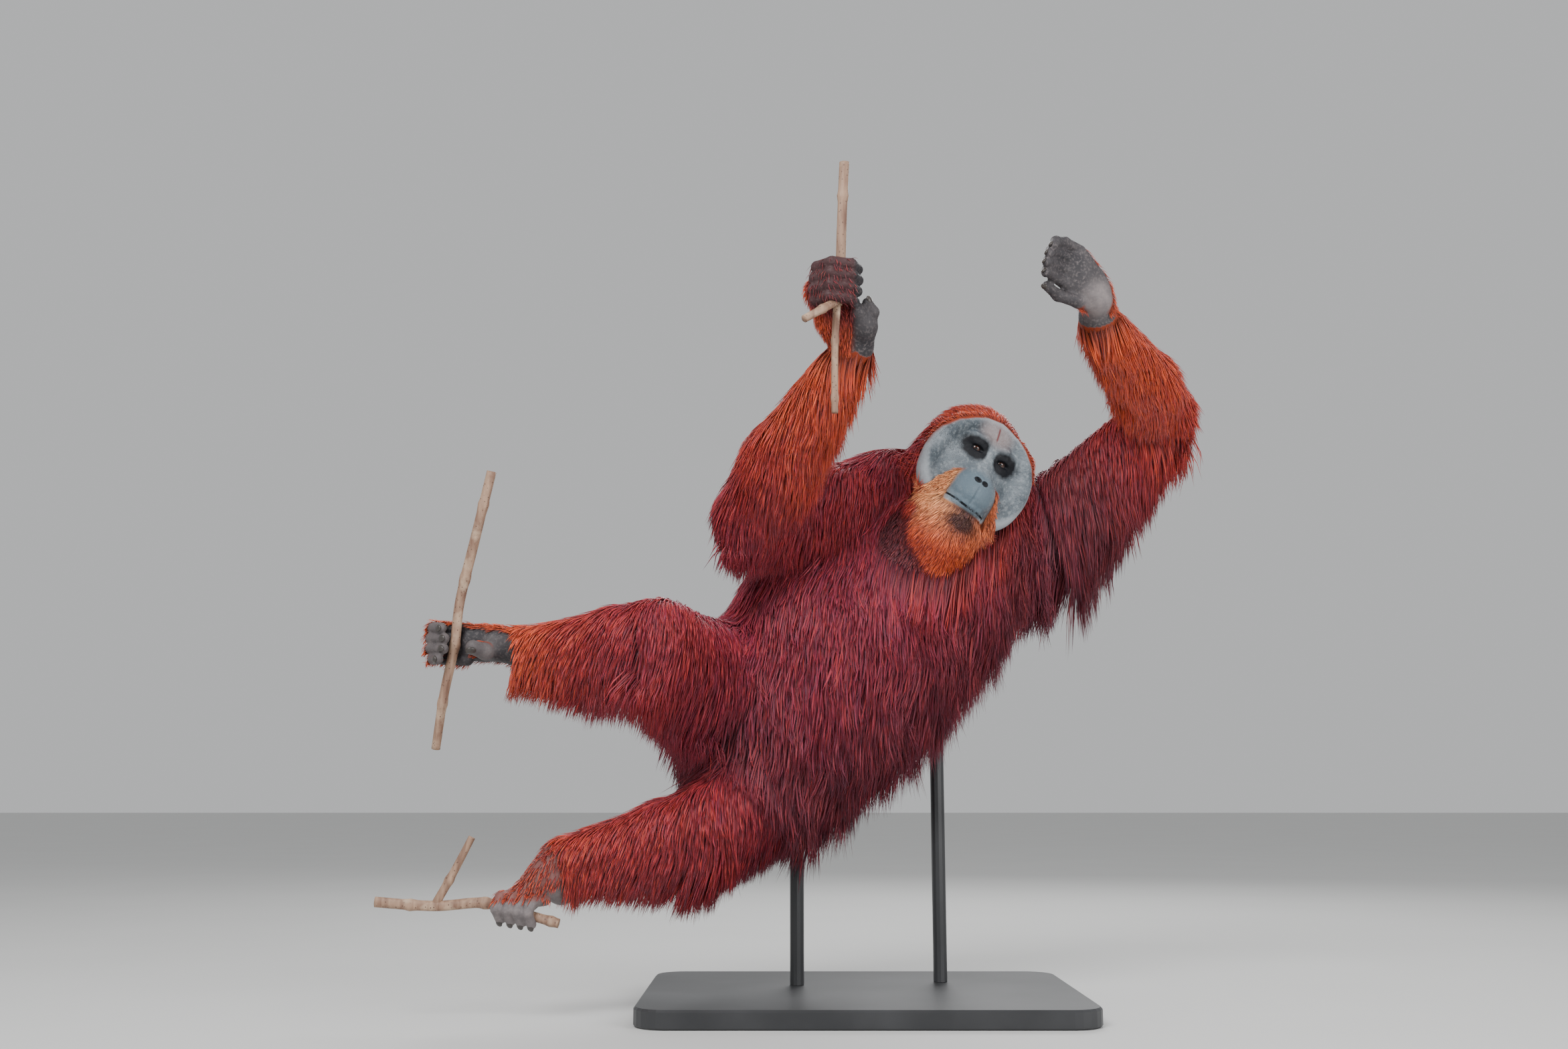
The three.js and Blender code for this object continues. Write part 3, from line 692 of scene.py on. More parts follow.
def on(parts, *names):
    """Which points lie on the named parts."""
    return np.isin(parts, [PART_NAMES.index(n) for n in names])


def along(points, hair):
    """Each point's place along the axis of a part's hair, 0 at its start and 1 at its end."""
    axis = hair.end - hair.start
    return np.clip(((points - hair.start) @ axis) / (axis @ axis), 0.0, 1.0)


# How far the colours of two parts run into each other, in metres.
COLOUR_BLEND = 0.016
INNER_THIGH = mm(-205, -95, 560)
WAIST = mm(40, 60, 790)


def face_bare(h):
    """1 on the bare disc of the face, 0 in the coat and in the orange hair of cheeks and jaw."""
    x, y, z = h.T
    ax = np.abs(x)
    heights = [-0.14, -0.13, -0.115, -0.09, -0.05, -0.02, 0.0, 0.03, 0.052, 0.068, 0.076]
    widths = [0.06, 0.089, 0.106, 0.119, 0.125, 0.121, 0.114, 0.092, 0.064, 0.036, 0.0]
    disc = ramp(np.interp(z, heights, widths) - ax, -0.003, 0.003) * ramp(y, 0.03, 0.018)
    heights = [-0.15, -0.13, -0.112, -0.09, -0.07, -0.055, -0.046]
    edge_right = np.interp(z, heights, [0.044, 0.044, 0.047, 0.047, 0.046, 0.041, 0.034])
    edge_left = np.interp(z, heights, [0.060, 0.060, 0.062, 0.058, 0.053, 0.043, 0.034])
    inner_right = np.interp(z, heights, [0.115, 0.092, 0.080, 0.068, 0.059, 0.048, 0.036])
    inner_left = np.interp(z, heights, [0.120, 0.098, 0.088, 0.075, 0.064, 0.050, 0.036])
    muzzle = np.where(x < 0, edge_right, edge_left)
    pad = np.where(x < 0, inner_right, inner_left)
    band = ramp(ax, muzzle - 0.003, muzzle + 0.004) * ramp(ax, pad + 0.004, pad - 0.002)
    band = band * ramp(z, -0.044, -0.056)
    chin = ramp(z, -0.119, -0.124) * ramp(ax, 0.100, 0.085)
    return disc * (1.0 - band) * (1.0 - chin)


def beard_share(h):
    """1 in the orange hair of jaw and chin, and 0 outside it."""
    x, y, z = h.T
    heights = [-0.26, -0.25, -0.216, -0.18, -0.15, -0.115, -0.09]
    left = np.interp(z, heights, [0.020, 0.030, 0.066, 0.078, 0.076, 0.090, 0.105])
    right = np.interp(z, heights, [0.000, 0.005, 0.056, 0.070, 0.068, 0.084, 0.105])
    edge = np.where(x > 0, left, right) - np.abs(x)
    jaw = ramp(z, -0.045, -0.06) * ramp(y, 0.03, 0.01) * ramp(edge, -0.006, 0.006)
    return jaw * ramp(z + 0.50 * x, -0.246, -0.226)


def trunk_dark_and_shade(points, trunk, arm_l):
    """How dark the left flank, the belly's lower end, the left armpit and the left shoulder are: partly
    darker hair, partly painted shade.
    """
    side = (points - WAIST) @ TRUNK_AXES[:, 0]
    height = (points - WAIST) @ SPINE_AXIS
    # Darker hair and painted shade on the left flank and under the belly.
    flank = trunk * ramp(side, 0.02, 0.17) * 0.30 + trunk * ramp(height, -0.15, -0.40) * 0.30
    from_shoulder = (points - SHOULDER_L) @ unit(ELBOW_L - SHOULDER_L)
    # Darker hair and painted shade on the upper arm towards the armpit.
    armpit = arm_l * ramp(from_shoulder, 0.30, 0.12) * 0.45
    # The left shoulder darkened by darker hair and painted shade.
    return np.maximum(np.clip(flank, 0, 0.5) + armpit, (points[:, 0] > 0.30) * trunk * 0.4)


def markings(points, normals, parts):
    """Bareness of the skin, and how orange, pale and dark each point of skin and coat is, the dark partly
    painted shade.
    """
    x, y, z = points.T
    gaps = part_gaps(points)
    share = np.exp((gaps.min(0) - gaps) / COLOUR_BLEND)
    share /= share.sum(0)
    orange = np.zeros(len(points))
    for part, hair in zip(share, COAT.values()):
        rise = hair.orange_end - hair.orange_start
        orange += part * (hair.orange_start + rise * along(points, hair) ** 1.4)

    h = to_head(points)
    head = on(parts, "head", "throat")
    beard = head * beard_share(h)
    sac = head * ramp(h[:, 2], -0.15, -0.19) * ramp(h[:, 1], 0.03, 0.01) * (1 - beard)
    orange = np.maximum(orange * (1 - beard), beard)
    pale = beard * (0.30 + 0.60 * ramp(h[:, 0], 0.03, -0.05)) * ramp(h[:, 2], -0.20, -0.11)
    from_lip = np.hypot(h[:, 0] - 0.006, (h[:, 2] + 0.136) * 1.45)
    tuft = head * ramp(from_lip, 0.048, 0.016) * ramp(h[:, 1], 0.0, -0.03) * 0.92
    throat = np.maximum(sac, on(parts, "throat")) * (1 - beard) * 0.55
    trunk, arm_l = share[PART_NAMES.index("trunk")], share[PART_NAMES.index("upper_arm_l")]
    # Dark stubble below the mouth and dark throat, and the darker hair with painted shade of flank, belly
    # and left shoulder.
    dark = np.maximum.reduce([tuft, throat, trunk_dark_and_shade(points, trunk, arm_l)])

    fingers_r = on(parts, "hand_r") * ramp(y, -0.370, -0.395)
    orange *= 1 - 0.55 * fingers_r
    palm_r = on(parts, "hand_r") * np.maximum(ramp(x, -0.035, -0.015), 0.60 * ramp(y, -0.384, -0.402))
    facing = normals @ unit((-0.55, -0.8, 0.1))
    palm_l = on(parts, "hand_l") * ramp(facing + (x < 0.40) * 1.2, -0.25, 0.1)
    facing = normals @ unit((0.1, -0.8, -0.6))
    sole_r = on(parts, "foot_r") * np.maximum(ramp(facing, 0.0, 0.35), ramp(y, -0.262, -0.272))
    facing = normals @ unit((0.3, 0.3, -0.9))
    sole_l = on(parts, "foot_l") * np.maximum(ramp(facing, 0.1, 0.4), ramp(z, 0.226, 0.212))
    thin_hair = on(parts, "foot_l") * 0.42
    inner_thigh = 0.5 * ramp(np.linalg.norm(points - INNER_THIGH, axis=1), 0.085, 0.03)
    bare = [head * face_bare(h), palm_r, palm_l, sole_r, sole_l, thin_hair, inner_thigh]
    dark = np.maximum.reduce([dark, 0.45 * fingers_r, 0.6 * sole_r])
    return [np.clip(v, 0, 1) for v in (np.maximum.reduce(bare), orange, pale, dark)]


def face_tints(points, parts):
    """Dark eyes with painted shade in the mouth line and nostrils, blue-grey muzzle, tan forehead, painted
    highlight on the pale rim and painted shade in the forehead crease, each 0 to 1.
    """
    x, y, z = to_head(points).T
    ax = np.abs(x)
    head = on(parts, "head").astype(float)
    lower = np.where(z < 0.002, 1.0 + 0.25 * ramp(ax, 0.03, 0.01), 1.15)
    around = np.hypot((ax - 0.034) / 1.30, (z - 0.002) * lower)
    eyes = head * ramp(around, 0.038, 0.013) * ramp(ax, 0.003, 0.014)
    line_x, line_z = np.array(MOUTH_LINE).T / 1000.0
    off = np.abs(z - np.interp(x, line_x, line_z))
    # Painted shade along the mouth line, the gap of the mouth.
    mouth_line_shade = head * ramp(off, 0.0028, 0.0012)
    mouth_line_shade = mouth_line_shade * ramp(np.abs(x - 0.0015), 0.053, 0.050) * ramp(y, -0.005, -0.02)
    # Painted shade in the nostrils.
    nostril_x = np.abs(x - NOSTRIL_SHIFT / 1000) - NOSTRIL_X / 1000
    nostril_shade = np.hypot(nostril_x / 1.5, z - NOSTRIL_Z / 1000 + 0.001)
    nostril_shade = head * ramp(nostril_shade, 0.0066, 0.0040) * ramp(y, -0.018, -0.028)
    muzzle = head * ramp(np.hypot((x + 0.004) / 1.05, z + 0.083), 0.054, 0.034)
    brow = head * ramp(np.hypot((x + 0.006) / 1.5, z - 0.048), 0.036, 0.012)
    # Painted highlight along the outer rim of the cheek pads.
    rim = head * ramp(np.hypot(x / 1.28, (z + 0.03) / 1.02), 0.086, 0.100)
    # Painted shade: a thin dark line along the forehead crease.
    crease = head * np.exp(-(((x + 0.004 + 0.15 * (z - 0.05)) / 0.0022) ** 2))
    crease = crease * ramp(z, 0.030, 0.040) * ramp(z, 0.072, 0.058)
    return np.clip(eyes + mouth_line_shade + nostril_shade, 0, 1), muzzle, brow, rim, crease


def new_object(name, vertices, triangles, material):
    """A smooth-shaded mesh object from arrays."""
    mesh = bpy.data.meshes.new(name)
    mesh.vertices.add(len(vertices))
    mesh.vertices.foreach_set("co", np.ascontiguousarray(vertices, dtype=np.float32).ravel())
    mesh.loops.add(triangles.size)
    mesh.loops.foreach_set("vertex_index", np.ascontiguousarray(triangles, dtype=np.int32).ravel())
    mesh.polygons.add(len(triangles))
    starts = np.arange(0, triangles.size, triangles.shape[1], dtype=np.int32)
    mesh.polygons.foreach_set("loop_start", starts)
    mesh.polygons.foreach_set("use_smooth", np.ones(len(triangles), dtype=bool))
    mesh.update(calc_edges=True)
    mesh.validate()
    mesh.materials.append(material)
    made = bpy.data.objects.new(name, mesh)
    bpy.context.scene.collection.objects.link(made)
    return made


def set_vectors(made, name, columns):
    """Stores three numbers at each vertex under a name that a material reads."""
    layer = made.data.attributes.new(name, "FLOAT_VECTOR", "POINT")
    layer.data.foreach_set("vector", np.stack(columns, axis=1).astype(np.float32).ravel())


class Shader:
    """Short names for building a node tree."""

    def __init__(self, name):
        self.material = bpy.data.materials.new(name)
        self.material.use_nodes = True
        self.tree = self.material.node_tree
        self.bsdf = self.tree.nodes["Principled BSDF"]

    def node(self, kind, **settings):
        made = self.tree.nodes.new(kind)
        for key, value in settings.items():
            setattr(made, key, value)
        return made

    def link(self, out, into):
        self.tree.links.new(out, into)

    def feed(self, value, socket):
        """Links a socket, or sets a number or an RGB triple."""
        if isinstance(value, bpy.types.NodeSocket):
            self.link(value, socket)
        elif socket.type == "RGBA":
            socket.default_value = (*value, 1.0)
        else:
            socket.default_value = value

    def attribute(self, name):
        """The three parts of a stored vector."""
        source = self.node("ShaderNodeAttribute", attribute_name=name)
        parts = self.node("ShaderNodeSeparateXYZ")
        self.link(source.outputs["Vector"], parts.inputs[0])
        return parts.outputs

    def mix(self, factor, a, b, blend="MIX"):
        """Mixes two colours, each a socket or an RGB triple."""
        made = self.node("ShaderNodeMix", data_type="RGBA", blend_type=blend)
        for value, socket in ((factor, made.inputs[0]), (a, made.inputs[6]), (b, made.inputs[7])):
            self.feed(value, socket)
        return made.outputs[2]

    def maths(self, operation, a, b=0.0):
        """One arithmetic step on sockets or numbers."""
        made = self.node("ShaderNodeMath", operation=operation)
        for value, socket in zip((a, b), made.inputs):
            self.feed(value, socket)
        return made.outputs[0]

    def times(self, a, b):
        """The product of two sockets or numbers."""
        return self.maths("MULTIPLY", a, b)

    def combine(self, *values):
        """A vector from sockets or numbers."""
        made = self.node("ShaderNodeCombineXYZ")
        for value, socket in zip(values, made.inputs):
            self.feed(value, socket)
        return made.outputs[0]

    def between(self, value, low, high):
        """A value rescaled from low..high to 0..1 and clamped."""
        made = self.node("ShaderNodeMapRange", clamp=True)
        self.link(value, made.inputs[0])
        made.inputs[1].default_value = low
        made.inputs[2].default_value = high
        return made.outputs[0]

    def noise(self, scale, detail=3.0, vector=None, roughness=0.5):
        """Cloudy noise on the object's own coordinates unless a vector is given."""
        made = self.node("ShaderNodeTexNoise")
        made.inputs["Scale"].default_value = scale
        made.inputs["Detail"].default_value = detail
        made.inputs["Roughness"].default_value = roughness
        self.link(vector or self.place(), made.inputs["Vector"])
        return made.outputs[0]

    def cells(self, scale, feature="F1"):
        """Cell noise on the object's own coordinates."""
        made = self.node("ShaderNodeTexVoronoi", feature=feature)
        made.inputs["Scale"].default_value = scale
        self.link(self.place(), made.inputs["Vector"])
        return made.outputs[0]

    def place(self):
        """The object's own coordinates."""
        if not hasattr(self, "coordinates"):
            self.coordinates = self.node("ShaderNodeTexCoord")
        return self.coordinates.outputs["Object"]

    def bump(self, height, strength, distance):
        """Surface relief from a height."""
        made = self.node("ShaderNodeBump")
        made.inputs["Strength"].default_value = strength
        made.inputs["Distance"].default_value = distance
        self.link(height, made.inputs["Height"])
        if self.bsdf.inputs["Normal"].is_linked:
            self.link(self.bsdf.inputs["Normal"].links[0].from_socket, made.inputs["Normal"])
        self.link(made.outputs[0], self.bsdf.inputs["Normal"])

    def finish(self, colour, **values):
        """Links the colour and sets the shader's uniform values."""
        self.link(colour, self.bsdf.inputs["Base Color"])
        for key, value in values.items():
            self.bsdf.inputs[key.replace("_", " ")].default_value = value
        return self.material


def coat_colour(s, colours, orange, pale, dark):
    """Maroon to orange coat colour with pale and dark patches, the dark partly painted shade, shared by
    skin and coat.
    """
    low = s.mix(s.between(orange, 0.0, 0.5), colours.coat_maroon[:], colours.coat_red[:])
    colour = s.mix(s.between(orange, 0.5, 1.0), low, colours.coat_orange[:])
    colour = s.mix(pale, colour, colours.coat_pale[:])
    # Dark hair of throat and stubble, and painted shade on the flank and left shoulder.
    return s.mix(dark, colour, colours.coat_dark_and_shade[:])


def skin_material(colours):
    """Bare grey skin where the markings are bare, and coat-coloured skin under the coat."""
    s = Shader("orangutan_skin")
    bare, orange, pale = s.attribute("marking")
    dark, eyes, muzzle = s.attribute("tint")
    brow, hand, rim = s.attribute("tint_more")
    turn, reach, _ = s.attribute("rays")
    under = s.mix(0.62, coat_colour(s, colours, orange, pale, dark), (0.012, 0.004, 0.004))

    # Blotches, creases that run out from the nose with painted shade in them, pale grain and dark stubble.
    lines = s.noise(3.2, 5.0, s.combine(s.times(turn, 13.0), s.times(reach, 60.0)), 0.65)
    blotches = s.between(s.noise(17.0, 4.0), 0.38, 0.62)
    grey = s.mix(blotches, (0.070, 0.088, 0.104), colours.face_grey[:])
    # Painted shade in the creases that run out from the nose.
    grey = s.mix(s.times(s.between(lines, 0.50, 0.72), 0.75), grey, (0.055, 0.062, 0.072))
    grain = s.between(s.noise(150.0, 3.0), 0.50, 0.75)
    grey = s.mix(s.times(grain, 0.55), grey, (0.34, 0.37, 0.39))
    stubble = s.times(s.between(s.cells(420.0), 0.40, 0.18), s.between(s.noise(21.0, 2.0), 0.44, 0.60))
    grey = s.mix(s.times(stubble, 0.8), grey, (0.022, 0.021, 0.026))

    # Painted highlight on the pad rim, muzzle, tan forehead with painted shade in its crease, and ragged
    # dark skin round the eyes.
    # Painted highlight: the pale rim of the cheek pads.
    face = s.mix(s.times(s.between(rim, 0.2, 1.0), 0.62), grey, (0.42, 0.45, 0.48))
    face = s.mix(s.times(muzzle, 0.80), face, colours.muzzle_grey[:])
    face = s.mix(s.times(brow, 0.45), face, (0.34, 0.24, 0.22))
    # Painted shade of the forehead crease, where the rim value goes below zero.
    face = s.mix(s.between(rim, -0.1, -0.9), face, (0.14, 0.035, 0.035))
    # Ragged dark skin of the eyes, with the painted shade of mouth line and nostrils.
    ragged = s.maths("ADD", eyes, s.times(s.maths("SUBTRACT", s.noise(120.0, 4.0), 0.5), 0.55))
    face = s.mix(s.times(s.between(ragged, 0.16, 0.78), 0.98), face, (0.0028, 0.0030, 0.0055))

    # Palms and soles, from near black to light grey.
    palm_clouds = s.between(s.noise(16.0, 4.0), 0.30, 0.75)
    palm = s.mix(palm_clouds, (0.022, 0.021, 0.025), (0.085, 0.076, 0.080))
    palm = s.mix(s.between(s.noise(210.0, 3.0), 0.50, 0.75), palm, (0.14, 0.12, 0.12))
    face = s.mix(s.between(hand, 0.0, 0.5), face, palm)
    light = s.mix(s.between(s.noise(60.0, 3.0), 0.35, 0.65), (0.30, 0.255, 0.25), (0.22, 0.19, 0.19))
    face = s.mix(s.between(hand, 0.5, 1.0), face, light)
    # Darkened by the dark marking, partly painted shade on the trunk.
    face = s.mix(s.times(dark, 0.75), face, (0.010, 0.009, 0.011))

    s.bump(s.noise(230.0, 4.0), 0.40, 0.0012)
    s.bump(s.cells(190.0, "DISTANCE_TO_EDGE"), 0.35, 0.0012)
    s.bump(lines, 0.35, 0.0015)
    return s.finish(s.mix(bare, under, face), Roughness=0.55, Specular_IOR_Level=0.24)


def coat_material(colours):
    """Hair: the coat colour with painted shade darkening each lock towards its root, and fine strands along
    each lock.
    """
    s = Shader("orangutan_coat")
    orange, pale, dark = s.attribute("marking")
    across, up, seed = s.attribute("lock")
    strands = s.noise(2.6, 2.0, s.combine(s.times(across, 3.0), s.times(up, 0.9), s.times(seed, 90.0)))
    streaks = s.maths("ADD", s.times(strands, 1.1), 0.55)
    # Painted shade: each lock darkened towards its root, times the strand streaks and a random tone for
    # each lock.
    shade = s.times(s.between(up, -0.15, 0.7), streaks)
    shade = s.times(shade, s.maths("ADD", s.times(seed, 0.7), 0.72))
    colour = coat_colour(s, colours, orange, pale, dark)
    colour = s.mix(1.0, colour, s.combine(shade, shade, shade), "MULTIPLY")
    s.bump(strands, 0.5, 0.0012)
    return s.finish(
        colour,
        Roughness=0.46,
        Specular_IOR_Level=0.34,
        Sheen_Weight=0.30,
        Sheen_Roughness=0.35,
        Sheen_Tint=(0.95, 0.55, 0.75, 1),
    )


def eye_material(colours):
    """A wet dark eye: black pupil, red-brown iris with a dark ring, and dark brown round it."""
    s = Shader("orangutan_eye")
    angle = s.attribute("gaze")[0]
    iris = s.mix(s.noise(700.0, 3.0), (0.014, 0.004, 0.002), colours.iris[:])
    colour = s.mix(s.between(angle, 0.60, 0.68), iris, (0.035, 0.020, 0.017))
    colour = s.mix(s.between(angle, 0.27, 0.24), colour, (0.003, 0.002, 0.002))
    ring = s.between(s.maths("ABSOLUTE", s.maths("SUBTRACT", angle, 0.62)), 0.06, 0.0)
    colour = s.mix(ring, colour, (0.012, 0.006, 0.004))
    return s.finish(colour, Roughness=0.08, Specular_IOR_Level=0.5, Coat_Weight=0.25, Coat_Roughness=0.02)


def nail_material():
    """Dark horn with faint lengthwise ridges."""
    s = Shader("orangutan_nail")
    colour = s.mix(s.noise(160.0, 3.0), (0.020, 0.017, 0.016), (0.075, 0.062, 0.055))
    s.bump(s.noise(400.0, 2.0), 0.2, 0.0006)
    return s.finish(colour, Roughness=0.34)


BARK_STRETCH = 0.12


def vine_material(colours):
    """Smooth tan bark with streaks, pale patches and dark spots."""
    s = Shader("vine_bark")
    stretched = s.node("ShaderNodeMapping")
    stretched.inputs["Scale"].default_value = (1.0, 1.0, BARK_STRETCH)
    s.link(s.place(), stretched.inputs["Vector"])
    streaks = s.noise(90.0, 5.0, stretched.outputs[0])
    colour = s.mix(s.between(streaks, 0.3, 0.7), (0.17, 0.085, 0.055), colours.bark[:])
    colour = s.mix(s.between(s.noise(30.0, 4.0), 0.55, 0.75), colour, (0.50, 0.36, 0.25))
    colour = s.mix(s.between(s.cells(140.0), 0.22, 0.12), colour, (0.10, 0.05, 0.035))
    s.bump(streaks, 0.6, 0.002)
    return s.finish(colour, Roughness=0.62)


def stand_material(colours):
    """Satin black powder coat with a fine grain and faint wear."""
    s = Shader("stand_powder_coat")
    colour = s.mix(s.between(s.noise(6.0, 4.0), 0.4, 0.7), colours.stand_paint[:], (0.040, 0.041, 0.044))
    s.bump(s.noise(900.0, 2.0), 0.12, 0.0004)
    return s.finish(colour, Roughness=0.42)


# Where the first knot of a vine is, how far apart they are and how long each is, in metres.
FIRST_KNOT = 0.06
KNOT_SPACING = 0.13
KNOT_LENGTH = 0.007


def tube(points, radii, sides, rows, bulge, seed):
    """A smooth closed tube through points, lumpy and with swollen nodes along it like a vine's."""
    points, radii = np.array(points), np.array(radii)
    places = np.linspace(0, len(points) - 1, rows)
    base = np.arange(len(points))
    path = np.stack([smooth_line(places, base, points[:, i]) for i in range(3)], axis=1)
    radius = np.interp(places, base, radii)
    rng = np.random.default_rng(seed)
    length = np.concatenate([[0], np.cumsum(np.linalg.norm(np.diff(path, axis=0), axis=1))])
    for centre in np.arange(FIRST_KNOT, length[-1], KNOT_SPACING):
        off = (length - centre - rng.uniform(-0.02, 0.02)) / KNOT_LENGTH
        radius = radius * (1 + bulge * np.exp(-(off**2)))
    tangent = unit(np.gradient(path, axis=0))
    side = unit(np.cross(tangent, (0.31, 0.93, 0.17)))
    other = np.cross(tangent, side)
    angle = np.linspace(0, 2 * np.pi, sides, endpoint=False)
    lumps = 1 + 0.05 * np.sin(3 * angle[None] + 9 * length[:, None])
    lumps = lumps + 0.03 * np.sin(5 * angle[None] - 23 * length[:, None])
    ring = np.cos(angle)[None, :, None] * side[:, None] + np.sin(angle)[None, :, None] * other[:, None]
    vertices = (path[:, None] + ring * (radius[:, None] * lumps)[..., None]).reshape(-1, 3)
    i, j = np.meshgrid(np.arange(rows - 1), np.arange(sides), indexing="ij")
    a, b = i * sides + j, i * sides + (j + 1) % sides
    faces = [np.stack(f, -1).reshape(-1, 3) for f in ((a, b, b + sides), (a, b + sides, a + sides))]
    n = len(vertices)
    vertices = np.concatenate([vertices, path[:1], path[-1:]])
    k = np.arange(sides)
    after = (k + 1) % sides
    last = (rows - 1) * sides
    faces.append(np.stack([np.full(sides, n), after, k], axis=1))
    faces.append(np.stack([np.full(sides, n + 1), last + k, last + after], axis=1))
    return vertices, np.concatenate(faces)


def smooth_line(places, base, values):
    """Values through given points, smoothed by a cubic between them."""
    gradient = np.gradient(values, base)
    i = np.clip(np.floor(places).astype(int), 0, len(base) - 2)
    t = places - i
    start = values[i] * (2 * t**3 - 3 * t**2 + 1) + gradient[i] * (t**3 - 2 * t**2 + t)
    return start + values[i + 1] * (3 * t**2 - 2 * t**3) + gradient[i + 1] * (t**3 - t**2)


def merged(pieces):
    """Several vertex and triangle arrays as one pair."""
    vertices, triangles, base = [], [], 0
    for v, t in pieces:
        vertices.append(v)
        triangles.append(t + base)
        base += len(v)
    return np.concatenate(vertices), np.concatenate(triangles)


def ball(centre, radii, axes, sides=24, rows=14):
    """A closed ellipsoid whose poles lie on the third axis."""
    phi = np.linspace(0, np.pi, rows + 1)[1:-1]
    theta = np.linspace(0, 2 * np.pi, sides, endpoint=False)
    p, t = np.meshgrid(phi, theta, indexing="ij")
    local = np.stack([np.sin(p) * np.cos(t), np.sin(p) * np.sin(t), np.cos(p)], -1).reshape(-1, 3)
    local = np.concatenate([local, [(0, 0, 1), (0, 0, -1)]])
    n = (rows - 1) * sides
    i, j = np.meshgrid(np.arange(rows - 2), np.arange(sides), indexing="ij")
    a, b = i * sides + j, i * sides + (j + 1) % sides
    faces = [np.stack(f, -1).reshape(-1, 3) for f in ((a, a + sides, b + sides), (a, b + sides, b))]
    k = np.arange(sides)
    faces.append(np.stack([np.full(sides, n), k, (k + 1) % sides], axis=1))
    last = (rows - 2) * sides
    faces.append(np.stack([np.full(sides, n + 1), last + (k + 1) % sides, last + k], axis=1))
    return np.asarray(centre) + (local * radii) @ np.asarray(axes).T, np.concatenate(faces)


def grow_locks(roots, normals, flow, length, droop, lift, clearance, hug, step, steps, rng):
    """Paths of the locks from root to tip: they lie along the flow, sag, and stay clear of the skin."""
    heading = unit(flow + normals * lift[:, None])
    place = roots - normals * 0.0015
    paths = [place]
    sway = rng.normal(0, 0.075, (len(roots), 3)) + 0.10 * waves(roots)
    for i in range(steps):
        heading = unit(heading + DOWN * (droop * 2.2 / steps)[:, None] + sway * (0.4 + 0.4 * i))
        moved = place + heading * (length / steps)[:, None]
        d, g = look_up(moved, step)
        g = unit(g)
        leaving = np.clip((heading * g).sum(1), 0.0, 1.0) * hug * (d > clearance)
        moved = moved - g * (leaving * length / steps)[:, None]
        d = d - leaving * length / steps
        need = clearance * (0.35 + 0.65 * (i + 1) / steps)
        push = np.clip(need - d, 0.0, 0.05) * (d < 0.06)
        moved = moved + g * push[:, None]
        heading = unit(moved - place)
        place = moved
        paths.append(place)
    return np.stack(paths, axis=1)


def waves(points):
    """A slow smooth wandering that neighbouring locks share."""
    x, y, z = (points * 38.0).T
    long_waves = np.stack([np.sin(y + 2 * np.sin(z)), np.sin(z + 2 * np.sin(x)), np.sin(x + y)], 1)
    x, y, z = (points * 71.0).T
    short_waves = np.stack([np.sin(z + x), np.sin(x - y), np.sin(y + z)], 1)
    return long_waves + 0.5 * short_waves


def gather(paths, roots, size, amount, rng):
    """Draws the tips of neighbouring locks together into clumps."""
    jitter = rng.uniform(-0.25, 0.25, roots.shape) * size[:, None]
    cell = np.floor((roots + jitter) / size[:, None]).astype(int)
    key = (cell[:, 0] * 92821 + cell[:, 1] * 68917 + cell[:, 2] * 31337) % 1000003
    order = rng.permutation(len(roots))
    _, first, where = np.unique(key[order], return_index=True, return_inverse=True)
    parent = np.empty(len(roots), int)
    parent[order] = order[first][where]
    near = np.linalg.norm(roots - roots[parent], axis=1) < size * 2.0
    s = np.linspace(0, 1, paths.shape[1])[None, :, None]
    target = paths[parent] + 0.3 * (roots - roots[parent])[:, None]
    pull = (amount * near)[:, None, None] * s**1.6
    return paths * (1 - pull) + target * pull


def lock_mesh(paths, normals, width):
    """Three-sided tapering locks along the paths, and each vertex's place across and up its lock."""
    count, rows = paths.shape[:2]
    tangent = unit(np.gradient(paths, axis=1))
    side = unit(np.cross(tangent, normals[:, None]))
    out = np.cross(side, tangent)
    taper = np.interp(np.linspace(0, 1, rows)[:-1], [0, 0.25, 0.55, 1], [0.75, 1.0, 0.85, 0.25])
    half = width[:, None, None] * 0.5 * taper[None, :, None]
    body = paths[:, :-1]
    ring = np.stack(
        [
            body - side[:, :-1] * half,
            body + out[:, :-1] * half * 0.75,
            body + side[:, :-1] * half,
        ],
        axis=2,
    ).reshape(count, -1, 3)
    vertices = np.concatenate([ring, paths[:, -1:]], axis=1)
    per = vertices.shape[1]
    faces = [(0, 1, 2)]
    for i in range(rows - 2):
        a = i * 3
        for j in range(3):
            p, q = a + j, a + (j + 1) % 3
            faces += [(p, p + 3, q + 3), (p, q + 3, q)]
    a = (rows - 2) * 3
    faces += [(a + j, per - 1, a + (j + 1) % 3) for j in range(3)]
    faces = np.array(faces)
    triangles = (np.arange(count)[:, None, None] * per + faces[None]).reshape(-1, 3)
    across = np.array([0.0, 0.5, 1.0] * (rows - 1) + [0.5])
    up = np.array([i / (rows - 1) for i in range(rows - 1) for _ in range(3)] + [1.0])
    return vertices.reshape(-1, 3), triangles, across, up


